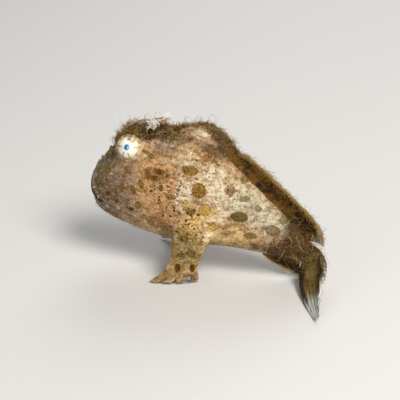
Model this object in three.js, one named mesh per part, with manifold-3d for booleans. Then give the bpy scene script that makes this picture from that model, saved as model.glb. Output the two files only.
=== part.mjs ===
// A young hairy frogfish at life size, waiting on the sea floor on its hand-like fins.
// Millimetres. +Z is up, the snout points along -X and the left flank faces -Y.
// The body is one loft parted by thin cuts; fins, spines and locks grow out of it across a narrow gap.
import * as THREE from "three";
import { ParametricGeometry } from "three/addons/geometries/ParametricGeometry.js";
import { mergeVertices } from "three/addons/utils/BufferGeometryUtils.js";
import Module from "manifold-3d";

const wasm = await Module();
wasm.setup();

const at = (x, y, z) => new THREE.Vector3(x, y, z);
const mix = THREE.MathUtils.lerp;
const LEFT = -1;
const RIGHT = 1;

// Gap between neighbours, thinnest fin, and how square the body's section is (2 would be an ellipse).
const GAP = 0.3;
const WELD = 1e-4;
const FIN_EDGE = 0.55;
const SQUARENESS = 2.3;

// Stations of the body, from the chin to the end of the tail stem: height of back and belly, and half width.
const BODY = [
  { x: -24.4, back: 15.6, belly: 15.6, side: 0 },
  { x: -24.1, back: 18.6, belly: 12.5, side: 2.6 },
  { x: -22.8, back: 21.9, belly: 10.9, side: 4.0 },
  { x: -20.4, back: 24.9, belly: 9.7, side: 4.8 },
  { x: -17.0, back: 27.3, belly: 8.3, side: 5.3 },
  { x: -12.5, back: 28.8, belly: 7.0, side: 6.0 },
  { x: -7.0, back: 29.4, belly: 6.0, side: 6.5 },
  { x: -2.0, back: 28.6, belly: 5.7, side: 6.6 },
  { x: 2.5, back: 26.0, belly: 6.0, side: 6.1 },
  { x: 7.0, back: 21.5, belly: 5.7, side: 5.2 },
  { x: 11.5, back: 17.0, belly: 5.2, side: 4.0 },
  { x: 16.0, back: 12.7, belly: 5.0, side: 2.8 },
  { x: 19.2, back: 9.3, belly: 4.1, side: 1.9 },
  { x: 21.4, back: 7.4, belly: 4.6, side: 1.2 },
  { x: 22.8, back: 6.4, belly: 5.4, side: 0.6 },
];
const BODY_MESH = { stacks: 34, slices: 28 };
const HEAD_CUT = { x: -7.4, z: 18, tilt: 0.14 };
const STEM_CUT = { x: 14.6, z: 9, tilt: 0.55 };

// Head: domed eyes high on its sides, a steep closed mouth, two tube nostrils a side and pale chin locks.
const EYE = { x: -15.9, y: 3.3, z: 26.1, radius: 2.3 };
const ORBIT = { x: -15.5, y: 1.9, z: 25.3, radius: 3.2 };
const MOUTH = { front: 20.0, corner: 13.6, reach: 4.0, steps: 14, sides: 6, points: 7 };
const LIPS = { upper: 0.8, lower: 0.95, groove: 0.3, corner: 0.18, part: 0.85, sunk: 0.35, proud: 0.4 };
const NOSTRIL = { rim: 0.5, taper: 0.8, pit: 0.22, tall: 0.9, deep: 0.9, sides: 8 };
const NOSTRILS = [
  { x: -21.6, z: 23.0 },
  { x: -20.2, z: 24.3 },
];
const CHIN = { locks: 12, half: 3.5, low: 11.8, high: 15.8, breadth: 0.36, shortest: 1.3, longest: 2.0 };

// Spines of the back: rod and lure, low crest, and hump.
const ROD = { thick: 0.34, stacks: 9, sides: 6, tufts: 7, tuftsFrom: 0.8, turn: 2.4, breadth: 0.42 };
const LURE = { x: -10.0, y: -0.9, z: 31.3, radius: 0.55 };
const CREST = { front: -17.2, rear: -7.8, thick: 1.3, root: 1.5, locks: 27, breadth: 0.52 };
const HUMP = { front: -6.6, rear: 3.6, top: 31.0, thick: 2.3, root: 1.6, locks: 16, breadth: 0.36 };

// Fins: where their roots run, how thick they are at the root, and how far the rays stand out.
const DORSAL = { front: 3.9, rear: 18.6, rays: 12, rows: 3, root: 1.5, sunk: 1.2, ridge: 0.5, notch: 0.07 };
const DORSAL_SWAY = { lean: -0.9, wave: 0.3, waves: 11 };
const FRINGE = { locks: 18, breadth: 0.34, seat: 0.95, shortest: 1.3, longest: 2.2 };
const ANAL = { front: 9.6, rear: 18.0, rays: 7, rows: 4, root: 1.3, sunk: 1.2, ridge: 0.4, notch: 0.1 };
const TAIL = { rays: 9, rows: 4, root: 1.2, ridge: 0.45, notch: 0.08 };

// Limbs: the right hand is a step ahead of the left.
const STRIDE = 3.4;
const ARM = { top: [4.8, 2.6], wrist: [2.75, 0.75], taper: [0.7, 1], stacks: 9, slices: 14 };
const HAND = { rays: 8, wrist: 5.9, knuckle: 0.75, claw: 0.42, claws: 0.28, steps: 5, sides: 6 };
const WEB = { reach: 0.62, valley: 0.3, root: 0.6, edge: 0.27, columns: 14, rows: 2 };
const FOOT = { x: -5.6, y: 2.7, ankle: 3.0, rays: 5, steps: 4, sides: 5, toe: 0.5, claw: 0.32 };
const SHIN = { top: [1.7, 1.2], bottom: [1.3, 0.8], steps: 4, sides: 8 };

// A smooth curve through points that stand for any three linked sizes.
const through = (points) => new THREE.CatmullRomCurve3(points, false, "catmullrom", 0.5);

const profile = through(BODY.map((s) => at(s.x, s.back, s.belly)));
const girth = through(BODY.map((s) => at(s.x, s.side, 0)));

// The body's section at share t of its stations.
function section(t) {
  const { x, y: back, z: belly } = profile.getPoint(t);
  const side = girth.getPoint(t).y;
  return { x, side, middle: (back + belly) / 2, half: (back - belly) / 2 };
}

// The share of the stations at which a rising measure first passes a value.
function shareWhere(passed) {
  let low = 0;
  let high = 1;
  for (let i = 0; i < 40; i++) {
    const t = (low + high) / 2;
    if (passed(section(t))) high = t;
    else low = t;
  }
  return high;
}

const sectionAtX = (x) => section(shareWhere((s) => s.x > x));
const backAt = (x) => {
  const s = sectionAtX(x);
  return s.middle + s.half;
};
const bellyAt = (x) => {
  const s = sectionAtX(x);
  return s.middle - s.half;
};

// How far the skin stands out sideways at a place along the body and a height.
function flankAt(x, z) {
  const s = sectionAtX(x);
  const high = Math.min(1, Math.abs((z - s.middle) / s.half)) ** SQUARENESS;
  return s.side * (1 - high) ** (1 / SQUARENESS);
}

// The front of the face at a height and a distance from its middle.
function faceAt(y, z) {
  const inside = (s) =>
    Math.abs(y / s.side) ** SQUARENESS + Math.abs((z - s.middle) / s.half) ** SQUARENESS < 1;
  return at(section(shareWhere(inside)).x, y, z);
}

// Solids from geometry, and joins and cuts between them.
function solidOf(geometry) {
  const bare = geometry.clone();
  bare.deleteAttribute("normal");
  bare.deleteAttribute("uv");
  const merged = mergeVertices(bare, WELD);
  const found = merged.index.array;
  const triangles = [];
  for (let i = 0; i < found.length; i += 3) {
    const [a, b, c] = found.slice(i, i + 3);
    if (a !== b && b !== c && a !== c) triangles.push(a, b, c);
  }
  const build = (triVerts) =>
    new wasm.Manifold(
      new wasm.Mesh({
        numProp: 3,
        vertProperties: merged.getAttribute("position").array,
        triVerts: new Uint32Array(triVerts),
      }),
    );
  const solid = build(triangles);
  return solid.volume() < 0 ? build(triangles.reverse()) : solid;
}

// The largest closed surface, which drops loose scraps and fills what is sealed inside.
const bySize = (a, b) => b.volume() - a.volume();
const largest = (solid) => solid.decompose().sort(bySize)[0];

const joined = (...solids) => largest(solids.reduce((all, one) => all.add(one)));
const cut = (solid, ...tools) => largest(tools.reduce((all, one) => all.subtract(one), solid));

// A geometry set down at a place, with its own Y axis aimed along a direction.
const UP = at(0, 1, 0);
function moved(geometry, place, aim = UP) {
  geometry.applyQuaternion(new THREE.Quaternion().setFromUnitVectors(UP, aim.clone().normalize()));
  return geometry.translate(place.x, place.y, place.z);
}

// A closed skin of rings: ring(t, angle) gives its points, and the ring's centre shuts each end.
function lofted(stacks, slices, ring, centre) {
  const last = stacks + 2;
  const skin = new ParametricGeometry(
    (around, along, out) => {
      const step = Math.round(along * last);
      const t = THREE.MathUtils.clamp((step - 1) / stacks, 0, 1);
      const shut = step === 0 || step === last;
      out.copy(shut ? centre(t) : ring(t, (around % 1) * 2 * Math.PI));
    },
    slices,
    last,
  );
  return solidOf(skin);
}

// A limb, finger or lock: oval rings along a curve. size(t) gives half its breadth and half its thickness.
function limb(curve, flat, size, stacks, slices) {
  return lofted(
    stacks,
    slices,
    (t, angle) => {
      const along = curve.getTangent(t);
      const thin = flat.clone().addScaledVector(along, -flat.dot(along)).normalize();
      const broad = new THREE.Vector3().crossVectors(along, thin);
      const [breadth, thickness] = size(t);
      return curve
        .getPoint(t)
        .addScaledVector(broad, Math.cos(angle) * breadth)
        .addScaledVector(thin, Math.sin(angle) * thickness);
    },
    (t) => curve.getPoint(t),
  );
}

// A thin fin. Both faces are split into the same triangles, and a rim joins them.
// place(u, v, side) gives a point: u runs along the root, v from root to margin, side is 1 or -1.
function vane(columns, rows, place) {
  const sheet = new THREE.PlaneGeometry(1, 1, columns, rows);
  const uv = sheet.getAttribute("uv");
  const points = [];
  for (const side of [1, -1])
    for (let i = 0; i < uv.count; i++) points.push(place(uv.getX(i), uv.getY(i), side));
  const front = sheet.index.array;
  const faces = [];
  const rim = new Map();
  for (let i = 0; i < front.length; i += 3) {
    const corners = [front[i], front[i + 1], front[i + 2]];
    const [a, b, c] = corners;
    faces.push(a, b, c, c + uv.count, b + uv.count, a + uv.count);
    corners.forEach((from, k) => {
      const to = corners[(k + 1) % 3];
      if (!rim.delete(`${to} ${from}`)) rim.set(`${from} ${to}`, [from, to]);
    });
  }
  for (const [from, to] of rim.values())
    faces.push(to, from, from + uv.count, to, from + uv.count, to + uv.count);
  const geometry = new THREE.BufferGeometry().setFromPoints(points);
  geometry.setIndex(faces);
  return solidOf(geometry);
}

// Where a column of a rayed fin stands among its rays, and how proud of the membrane it is.
// Four columns serve each ray: a valley, a flank, the crest and a flank.
const RAY_COLUMNS = 4;
function rayColumn(u, rays) {
  const step = Math.round(u * rays * RAY_COLUMNS);
  const ray = Math.floor(step / RAY_COLUMNS);
  const part = step % RAY_COLUMNS;
  return {
    share: (ray + [0, 0.3, 0.5, 0.7][part]) / rays,
    proud: [0, 0.6, 1, 0.6][part],
  };
}

// Draws that repeat each time: the same seed gives the same locks.
function randomFrom(seed) {
  let state = seed;
  return (low = 0, high = 1) => {
    state = (Math.imul(state, 1664525) + 1013904223) >>> 0;
    return mix(low, high, state / 2 ** 32);
  };
}

// A flat, tapered lock of skin filaments, which grows from its root and then curls over and falls.
const LOCK = { sunk: 0.7, sides: 4, steps: 4, tip: 0.1, flatness: 0.62 };
function lock(root, grow, fall, length, breadth) {
  const step = (up, over) =>
    root.clone().addScaledVector(grow, up * length).addScaledVector(fall, over * length);
  const curve = new THREE.CubicBezierCurve3(
    root.clone().addScaledVector(grow, -LOCK.sunk),
    step(0.35, -0.05),
    step(0.62, 0.22),
    step(0.5, 0.68),
  );
  const flat = new THREE.Vector3().crossVectors(grow, fall).cross(grow).normalize();
  const size = (t) => {
    const taper = mix(1, LOCK.tip, t ** 1.6);
    return [breadth * taper, breadth * LOCK.flatness * taper];
  };
  return limb(curve, flat, size, LOCK.steps, LOCK.sides);
}

// The ground below z = 0, and the body grown by the gap, which the fins' roots are cut by.
const ground = solidOf(moved(new THREE.BoxGeometry(120, 120, 40), at(0, 0, -20)));

const bodySkin = (grow) =>
  lofted(
    BODY_MESH.stacks,
    BODY_MESH.slices,
    (t, angle) => {
      const s = section(t);
      const [across, up] = [Math.cos(angle), Math.sin(angle)];
      const reach = (Math.abs(across) ** SQUARENESS + Math.abs(up) ** SQUARENESS) ** (-1 / SQUARENESS);
      return at(s.x, across * reach * (s.side + grow), s.middle + up * reach * (s.half + grow));
    },
    (t) => at(section(t).x, 0, section(t).middle),
  );
const whole = bodySkin(0);
const clearOfBody = bodySkin(GAP);

const eyeAt = (flank) => at(EYE.x, flank * EYE.y, EYE.z);
const ball = (radius, place, across = 14, down = 9) =>
  solidOf(moved(new THREE.SphereGeometry(radius, across, down), place));

// The mouth crosses the snout high up and falls to a corner below the eye.
function mouthCurve(rise, sunk) {
  const points = [];
  for (let i = -MOUTH.points; i <= MOUTH.points; i++) {
    const out = i / MOUTH.points;
    const high = mix(MOUTH.front, MOUTH.corner, Math.abs(out) ** 1.9);
    const point = faceAt(out * MOUTH.reach, high + rise * (1 - Math.abs(out) ** 3));
    points.push(point.add(at(sunk, 0, 0)));
  }
  return through(points);
}
function lip(rise, sunk, radius) {
  const size = (t) => Array(2).fill(mix(radius, LIPS.corner, Math.abs(2 * t - 1) ** 4));
  return limb(mouthCurve(rise, sunk), at(0, 0.1, 1), size, MOUTH.steps, MOUTH.sides);
}

function nostril({ x, z }, flank) {
  const skin = at(x, flank * flankAt(x, z), z);
  const tube = new THREE.LatheGeometry(
    [
      [0, -NOSTRIL.deep],
      [NOSTRIL.rim, -NOSTRIL.deep],
      [NOSTRIL.rim * NOSTRIL.taper, NOSTRIL.tall],
      [NOSTRIL.pit, NOSTRIL.tall],
      [0, NOSTRIL.tall * 0.4],
    ].map(([r, h]) => new THREE.Vector2(r, h)),
    NOSTRIL.sides,
  );
  return solidOf(moved(tube, skin, at(-0.5, flank, 0.6)));
}

// Thin cuts part the body where a person would name its parts.
const cutter = (place, aim) => solidOf(moved(new THREE.BoxGeometry(60, GAP, 60), place, aim));
const slab = ({ x, z, tilt }) => cutter(at(x, 0, z), at(1, 0, -tilt));
const parted = whole
  .subtract(slab(HEAD_CUT))
  .subtract(slab(STEM_CUT))
  .decompose()
  .sort((a, b) => a.boundingBox().min[0] - b.boundingBox().min[0]);
const [bareHead, torso, tailStem] = parted;

const upperLip = lip(LIPS.upper * LIPS.part, LIPS.sunk, LIPS.upper);
const lowerLip = lip(-LIPS.lower * LIPS.part, LIPS.sunk, LIPS.lower);
const lipGroove = lip(0, LIPS.sunk - LIPS.proud, LIPS.groove);

// Skin filaments of the chin, small and pale, which hang from the lower jaw.
const chinRandom = randomFrom(11);
const chinLocks = [];
for (let i = 0; i < CHIN.locks; i++) {
  const out = mix(-1, 1, (i + chinRandom(0.1, 0.9)) / CHIN.locks);
  const root = faceAt(out * CHIN.half, mix(CHIN.low, CHIN.high, (i * 0.38 + chinRandom(0, 0.3)) % 1));
  const grow = at(-1, out * 0.9, -0.3).normalize();
  const fall = at(0.1, chinRandom(-0.4, 0.4), -1).normalize();
  chinLocks.push(lock(root, grow, fall, chinRandom(CHIN.shortest, CHIN.longest), CHIN.breadth));
}

const flanks = [LEFT, RIGHT];
const orbits = (grow) => flanks.map((f) => ball(ORBIT.radius + grow, at(ORBIT.x, f * ORBIT.y, ORBIT.z)));
const head = cut(
  joined(
    bareHead,
    upperLip,
    lowerLip,
    ...orbits(0),
    ...flanks.flatMap((f) => NOSTRILS.map((place) => nostril(place, f))),
    ...chinLocks,
  ),
  lipGroove,
  ...flanks.map((f) => ball(EYE.radius + GAP, eyeAt(f))),
);

// Second dorsal spine: a low core over the eyes, hidden by curled locks that overlap and stand twice as high.
const crestLine = through([
  at(-17.2, 0, 27.9),
  at(-15.4, 0, 29.2),
  at(-13.0, 0, 30.0),
  at(-10.2, 0, 30.3),
  at(-7.8, 0, 29.7),
]);
const crestVane = vane(8, 2, (u, v, side) => {
  const x = mix(CREST.front, CREST.rear, u);
  const point = at(x, 0, backAt(x) - CREST.root).lerp(crestLine.getPoint(u), v);
  point.y = side * CREST.thick * (1.2 - 0.7 * v * v) * Math.sin(Math.PI * (0.12 + 0.76 * u));
  return point;
});
const crestRandom = randomFrom(5);
const crestLocks = [];
for (let i = 0; i < CREST.locks; i++) {
  const along = (i + crestRandom(0.2, 0.8)) / CREST.locks;
  const lean = [LEFT, 0, RIGHT][i % 3] * crestRandom(0.5, 1) + crestRandom(-0.15, 0.15);
  const x = mix(CREST.front, CREST.rear, along);
  const ridge = crestLine.getPoint(along);
  const root = at(x, 0, backAt(x)).lerp(ridge, mix(1, 0.45, Math.abs(lean)));
  root.y = lean * CREST.thick * 0.7;
  const grow = at(crestRandom(-0.5, 0.1), lean * 0.9, mix(1, 0.55, Math.abs(lean))).normalize();
  const aside = lean * 0.5 + crestRandom(-0.4, 0.4);
  const fall = at(crestRandom(0.3, 1), aside, crestRandom(-0.7, 0)).normalize();
  crestLocks.push(lock(root, grow, fall, crestRandom(2.6, 3.5), CREST.breadth));
}

// First dorsal spine: the fishing rod, a fine stalk laid back over the crest, and the lure at its end.
const rodCurve = through([
  at(-18.4, 0, backAt(-18.4) - 1),
  at(-18.4, -0.4, 27.6),
  at(-17.2, -0.8, 29.4),
  at(-14.8, -1.0, 30.9),
  at(-12.2, -0.9, 31.6),
  at(-10.0, -0.7, 31.9),
]);
const lureRandom = randomFrom(3);
const tufts = [];
for (let i = 0; i < ROD.tufts; i++) {
  const along = mix(ROD.tuftsFrom, 1, i / (ROD.tufts - 1));
  const turn = i * ROD.turn;
  const grow = at(0.4, Math.cos(turn) * 0.8, Math.sin(turn) * 0.4 + 0.8).normalize();
  const fall = at(1, lureRandom(-0.4, 0.4), lureRandom(0, 0.6)).normalize();
  tufts.push({ root: rodCurve.getPoint(along), grow, fall, length: lureRandom(1.1, 1.7) });
}
const rodOf = (extra) =>
  joined(
    limb(rodCurve, at(0, 1, 0), () => Array(2).fill(ROD.thick + extra), ROD.stacks, ROD.sides),
    ball(LURE.radius + extra, at(LURE.x, LURE.y, LURE.z), 8, 6),
    ...tufts.map((t) => lock(t.root, t.grow, t.fall, t.length + extra, ROD.breadth + extra)),
  );
const rod = cut(rodOf(0), clearOfBody);
const crest = cut(joined(crestVane, ...crestLocks), clearOfBody, ...orbits(GAP), rodOf(GAP));

// Third dorsal spine: a low, skin-covered hump on the nape.
const humpLine = through([
  at(HUMP.front, 0, backAt(HUMP.front) - 0.4),
  at(-4.4, 0, 30.2),
  at(-2.0, 0, HUMP.top),
  at(0, 0, HUMP.top - 0.3),
  at(2.2, 0, 28.0),
  at(HUMP.rear, 0, backAt(HUMP.rear) - 0.2),
]);
const humpVane = vane(12, 4, (u, v, side) => {
  const x = mix(HUMP.front, HUMP.rear, u);
  const point = at(x, 0, backAt(x) - HUMP.root).lerp(humpLine.getPoint(u), v);
  const lens = 0.35 + 0.65 * Math.sin(Math.PI * (0.08 + 0.84 * u));
  point.y = side * HUMP.thick * (1.1 - 0.8 * v * v) * lens;
  return point;
});
const humpRandom = randomFrom(23);
const humpLocks = [];
for (let i = 0; i < HUMP.locks; i++) {
  const along = mix(0.12, 0.95, (i + humpRandom(0.2, 0.8)) / HUMP.locks);
  const flank = i % 2 ? LEFT : RIGHT;
  const root = humpLine.getPoint(along).add(at(0, flank * 0.3, -0.35));
  const grow = at(humpRandom(0, 0.5), flank * humpRandom(0.1, 0.6), 1).normalize();
  const fall = at(1, flank * humpRandom(-0.2, 0.5), -0.5).normalize();
  humpLocks.push(lock(root, grow, fall, humpRandom(1.3, 2.0), HUMP.breadth));
}
const hump = cut(joined(humpVane, ...humpLocks), clearOfBody);

// Soft dorsal fin: laid back along the body, with a rayed, fringed margin.
const dorsalMargin = through([
  at(4.9, 0, 26.4),
  at(7.6, 0, 25.4),
  at(11.8, 0, 22.5),
  at(15.9, 0, 18.8),
  at(19.9, 0, 14.8),
  at(22.4, 0, 11.4),
  at(22.7, 0, 8.9),
]);
function dorsalPlace(u, v) {
  const x = mix(DORSAL.front, DORSAL.rear, u);
  const foot = at(x, 0, backAt(x) - DORSAL.sunk);
  const point = foot.lerp(dorsalMargin.getPoint(u), v);
  point.y = DORSAL_SWAY.lean * v * v + DORSAL_SWAY.wave * v * Math.sin(u * DORSAL_SWAY.waves);
  return point;
}
const dorsalVane = vane(DORSAL.rays * RAY_COLUMNS, DORSAL.rows, (u, v, side) => {
  const { share, proud } = rayColumn(u, DORSAL.rays);
  const point = dorsalPlace(share, v * (1 - DORSAL.notch * (1 - proud)));
  const thick = mix(DORSAL.root, FIN_EDGE, v) + DORSAL.ridge * proud * (1 - 0.6 * v);
  point.y += (side * thick) / 2;
  return point;
});
const fringeRandom = randomFrom(41);
const fringe = [];
for (let i = 0; i < FRINGE.locks; i++) {
  const u = (i + fringeRandom(0.15, 0.85)) / FRINGE.locks;
  const flank = i % 2 ? LEFT : RIGHT;
  const lie = dorsalMargin.getTangent(u);
  const out = at(-lie.z, 0, lie.x);
  const grow = out.clone().addScaledVector(lie, 0.4).setY(flank * fringeRandom(0, 0.5)).normalize();
  const fall = lie.clone().addScaledVector(out, -0.3).setY(flank * fringeRandom(-0.3, 0.6)).normalize();
  const length = fringeRandom(FRINGE.shortest, FRINGE.longest);
  fringe.push(lock(dorsalPlace(u, FRINGE.seat), grow, fall, length, FRINGE.breadth));
}
const dorsal = cut(joined(dorsalVane, ...fringe), clearOfBody);

// Anal fin: under the rear of the belly, its longest rays just resting on the ground.
const analMargin = through([
  at(10.6, 0, 4.4),
  at(12.0, 0, 3.1),
  at(14.2, 0, 2.2),
  at(16.4, 0, 1.0),
  at(18.3, 0, -0.7),
]);
const anal = cut(
  vane(ANAL.rays * RAY_COLUMNS, ANAL.rows, (u, v, side) => {
    const { share, proud } = rayColumn(u, ANAL.rays);
    const x = mix(ANAL.front, ANAL.rear, share);
    const foot = at(x, 0, bellyAt(x) + ANAL.sunk);
    const point = foot.lerp(analMargin.getPoint(share), v * (1 - ANAL.notch * (1 - proud)));
    const thick = mix(ANAL.root, FIN_EDGE, v) + ANAL.ridge * proud * (1 - 0.5 * v);
    point.y = (side * thick) / 2;
    return point;
  }),
  clearOfBody,
  ground,
);

// Tail fin: a fan that curls round to the left and rests on its lowest rays.
const tailRoots = through([at(22.0, 0, 6.6), at(20.6, 0, 5.4), at(18.9, 0, 4.6)]);
const tailBends = through([at(25.4, -3.0, 5.6), at(22.8, -4.4, 2.4), at(17.4, -4.6, -0.2)]);
const tailTips = through([at(23.9, -13.0, 3.7), at(24.9, -16.2, 1.6), at(24.2, -16.0, 0.1)]);
function tailPlace(u, v) {
  const stops = [tailRoots, tailBends, tailTips].map((line) => line.getPoint(u));
  return new THREE.QuadraticBezierCurve3(...stops).getPoint(v);
}
function tailNormal(u, v) {
  const near = (value) => [Math.max(0, value - 1e-3), Math.min(1, value + 1e-3)];
  const [u0, u1] = near(u);
  const [v0, v1] = near(v);
  const across = tailPlace(u1, v).sub(tailPlace(u0, v));
  const along = tailPlace(u, v1).sub(tailPlace(u, v0));
  return across.cross(along).normalize();
}
const tailFin = cut(
  vane(TAIL.rays * RAY_COLUMNS, TAIL.rows, (u, v, side) => {
    const { share, proud } = rayColumn(u, TAIL.rays);
    const reach = v * (1 - TAIL.notch * (1 - proud));
    const thick = mix(TAIL.root, FIN_EDGE, v) + TAIL.ridge * proud * (1 - 0.5 * v);
    return tailPlace(share, reach).addScaledVector(tailNormal(share, reach), (side * thick) / 2);
  }),
  clearOfBody,
  ground,
);

// Pectoral fins: a fleshy arm that widens into a hand of splayed, clawed rays.
const outward = (flank, x, y, z) => at(x - (flank === RIGHT ? STRIDE : 0), flank * y, z);
function armOf(flank) {
  const curve = through([
    outward(flank, -2.5, 3.2, 12.8),
    outward(flank, -2.6, 5.9, 10.6),
    outward(flank, -2.9, 7.6, 8.2),
    outward(flank, -3.3, 8.3, 6.0),
    outward(flank, -3.7, 8.7, 4.5),
  ]);
  const size = (t) => ARM.top.map((half, k) => mix(half, ARM.wrist[k], t ** ARM.taper[k]));
  return limb(curve, at(0, 1, 0.3), size, ARM.stacks, ARM.slices);
}
function fingerCurve(flank, f) {
  const arch = Math.sin(Math.PI * f);
  const knuckle = outward(flank, mix(-5.4, -1.3, f), 8.3, HAND.wrist);
  const bend = outward(flank, mix(-7.4, -1.1, f), mix(9.3, 8.0, f) + 0.5 * arch, 1.6);
  const tip = outward(flank, mix(-10.4, -1.3, f), mix(9.7, 6.6, f) + 0.9 * arch, HAND.claws);
  return new THREE.CubicBezierCurve3(knuckle, knuckle.clone().lerp(bend, 0.6), bend, tip);
}
function limbsOf(flank) {
  const fingers = [];
  for (let i = 0; i < HAND.rays; i++) {
    const curve = fingerCurve(flank, i / (HAND.rays - 1));
    const size = (t) => Array(2).fill(mix(HAND.knuckle, HAND.claw, t));
    fingers.push(limb(curve, at(0, 1, 0), size, HAND.steps, HAND.sides));
  }
  const web = vane(WEB.columns, WEB.rows, (u, v, side) => {
    const valley = 1 - WEB.valley * Math.abs(Math.sin(Math.PI * u * (HAND.rays - 1)));
    const point = fingerCurve(flank, u).getPoint(v * WEB.reach * valley);
    return point.add(at(0, side * mix(WEB.root, WEB.edge, v), 0));
  });
  const wrist = cutter(at(0, 0, HAND.wrist), at(0, 0, 1));
  return joined(armOf(flank), ...fingers, web)
    .subtract(clearOfBody)
    .subtract(ground)
    .subtract(wrist)
    .decompose()
    .sort(bySize)
    .slice(0, 2)
    .sort((a, b) => a.boundingBox().min[2] - b.boundingBox().min[2]);
}

// Pelvic fins: small feet of five rays, tucked in between the hands.
function footOf(flank) {
  const root = at(FOOT.x, flank * FOOT.y, bellyAt(FOOT.x) + 1.6);
  const ankle = at(FOOT.x + 0.2, flank * (FOOT.y + 0.7), FOOT.ankle);
  const size = (t) => SHIN.top.map((half, k) => mix(half, SHIN.bottom[k], t));
  const shin = limb(through([root, ankle]), at(0, 1, 0), size, SHIN.steps, SHIN.sides);
  const toes = [];
  for (let i = 0; i < FOOT.rays; i++) {
    const f = i / (FOOT.rays - 1);
    const knuckle = ankle.clone().add(at(mix(-0.9, 0.9, f), 0, 0.2));
    const tip = at(FOOT.x + mix(-2.3, 1.9, f), flank * (FOOT.y + 1.6), 0.1);
    const bend = knuckle.clone().lerp(tip, 0.75).setZ(0.9);
    const curve = new THREE.QuadraticBezierCurve3(knuckle, bend, tip);
    const toe = (t) => Array(2).fill(mix(FOOT.toe, FOOT.claw, t));
    toes.push(limb(curve, at(0, 1, 0), toe, FOOT.steps, FOOT.sides));
  }
  return cut(joined(shin, ...toes), clearOfBody, ground);
}

// Finishes as they look in daylight: a colour and a roughness.
const SKIN = { color: 0xdcc3a4, roughness: 0.6 };
const BROWN_FIN = { color: 0x9a6a24, roughness: 0.55 };
const CLEAR_FIN = { color: 0xb39a62, roughness: 0.6 };
const FILAMENTS = { color: 0x5f4522, roughness: 0.75 };
const IRIS = { color: 0xf4efdc, roughness: 0.15 };

const frogfish = new THREE.Group();
function add(name, solid, finish) {
  const { vertProperties, triVerts, numProp } = solid.getMesh();
  const geometry = new THREE.BufferGeometry();
  const data = new THREE.InterleavedBuffer(vertProperties, numProp);
  geometry.setAttribute("position", new THREE.InterleavedBufferAttribute(data, 3, 0));
  geometry.setIndex(new THREE.BufferAttribute(triVerts, 1));
  geometry.computeBoundingBox();
  const middle = geometry.boundingBox.getCenter(at(0, 0, 0));
  geometry.translate(-middle.x, -middle.y, -middle.z);
  const mesh = new THREE.Mesh(geometry, new THREE.MeshStandardMaterial({ ...finish, metalness: 0 }));
  mesh.name = name;
  mesh.position.copy(middle);
  frogfish.add(mesh);
}

add("head", head, SKIN);
add("torso", torso, SKIN);
add("tail_stem", tailStem, SKIN);
add("crest_spine", crest, FILAMENTS);
add("nape_spine", hump, SKIN);
add("lure_rod", rod, CLEAR_FIN);
add("dorsal_fin", dorsal, BROWN_FIN);
add("anal_fin", anal, BROWN_FIN);
add("tail_fin", tailFin, CLEAR_FIN);
for (const [flank, side] of [
  [LEFT, "left"],
  [RIGHT, "right"],
]) {
  const [hand, arm] = limbsOf(flank);
  add(`eye_${side}`, ball(EYE.radius, eyeAt(flank)), IRIS);
  add(`arm_${side}`, arm, SKIN);
  add(`hand_${side}`, hand, CLEAR_FIN);
  add(`pelvic_fin_${side}`, footOf(flank), CLEAR_FIN);
}

// The middle of the whole, at the level of the ground, is the origin.
const bounds = new THREE.Box3().setFromObject(frogfish);
const origin = bounds.getCenter(at(0, 0, 0)).setZ(bounds.min.z);
for (const mesh of frogfish.children) mesh.position.sub(origin);

export default frogfish;
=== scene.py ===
import math
import random

import bmesh
import bpy
import numpy as np
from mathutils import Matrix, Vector, noise
from mathutils.bvhtree import BVHTree
from mathutils.kdtree import KDTree


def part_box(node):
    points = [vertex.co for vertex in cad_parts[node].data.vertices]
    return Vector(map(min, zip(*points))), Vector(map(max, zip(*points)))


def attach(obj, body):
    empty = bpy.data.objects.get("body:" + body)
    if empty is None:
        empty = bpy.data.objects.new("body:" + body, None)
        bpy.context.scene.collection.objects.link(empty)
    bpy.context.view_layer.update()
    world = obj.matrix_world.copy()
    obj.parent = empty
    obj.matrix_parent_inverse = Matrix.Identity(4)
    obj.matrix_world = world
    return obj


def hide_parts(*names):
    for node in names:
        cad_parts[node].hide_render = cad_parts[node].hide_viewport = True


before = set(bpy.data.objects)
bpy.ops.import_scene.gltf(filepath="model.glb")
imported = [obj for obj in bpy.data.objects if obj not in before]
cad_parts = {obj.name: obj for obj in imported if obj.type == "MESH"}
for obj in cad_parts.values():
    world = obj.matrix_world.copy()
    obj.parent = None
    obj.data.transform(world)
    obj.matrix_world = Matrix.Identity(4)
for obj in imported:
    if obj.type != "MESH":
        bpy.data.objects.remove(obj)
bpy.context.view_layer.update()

# The fish is laid out in millimetres: x from the snout towards the tail, y towards its right flank, z up.
# The left eye, which shows best, ties this layout to the model's frame.
MM = 0.001
LEFT_EYE = Vector((-15.9, -3.3, 26.1))
eye_low, eye_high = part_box("eye_left")
layout_zero = (Vector(eye_low) + Vector(eye_high)) / 2 - LEFT_EYE * MM

# The camera looks at the left flank from a little behind the middle, and down on it from a diver's height.
# Its picture is 400 dots wide, and a dot is 0.2 mm at the fish.
CAMERA_ROUND, CAMERA_UP = math.radians(15), math.radians(25)
CAMERA_AIM = Vector((-2.5, 0, 14.9))
CAMERA_AWAY = 230
DOT = 0.2
PICTURE = 400
FILM = 36
to_camera = Vector((
    math.sin(CAMERA_ROUND) * math.cos(CAMERA_UP),
    -math.cos(CAMERA_ROUND) * math.cos(CAMERA_UP),
    math.sin(CAMERA_UP),
))
picture_right = Vector((math.cos(CAMERA_ROUND), math.sin(CAMERA_ROUND), 0))
picture_up = to_camera.cross(picture_right)
camera = bpy.data.objects.new("camera", bpy.data.cameras.new("camera"))
camera.data.sensor_width = FILM
camera.data.lens = FILM * CAMERA_AWAY / (DOT * PICTURE)
camera.data.clip_start = 0.01
camera.location = layout_zero + (CAMERA_AIM + to_camera * CAMERA_AWAY) * MM
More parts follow.
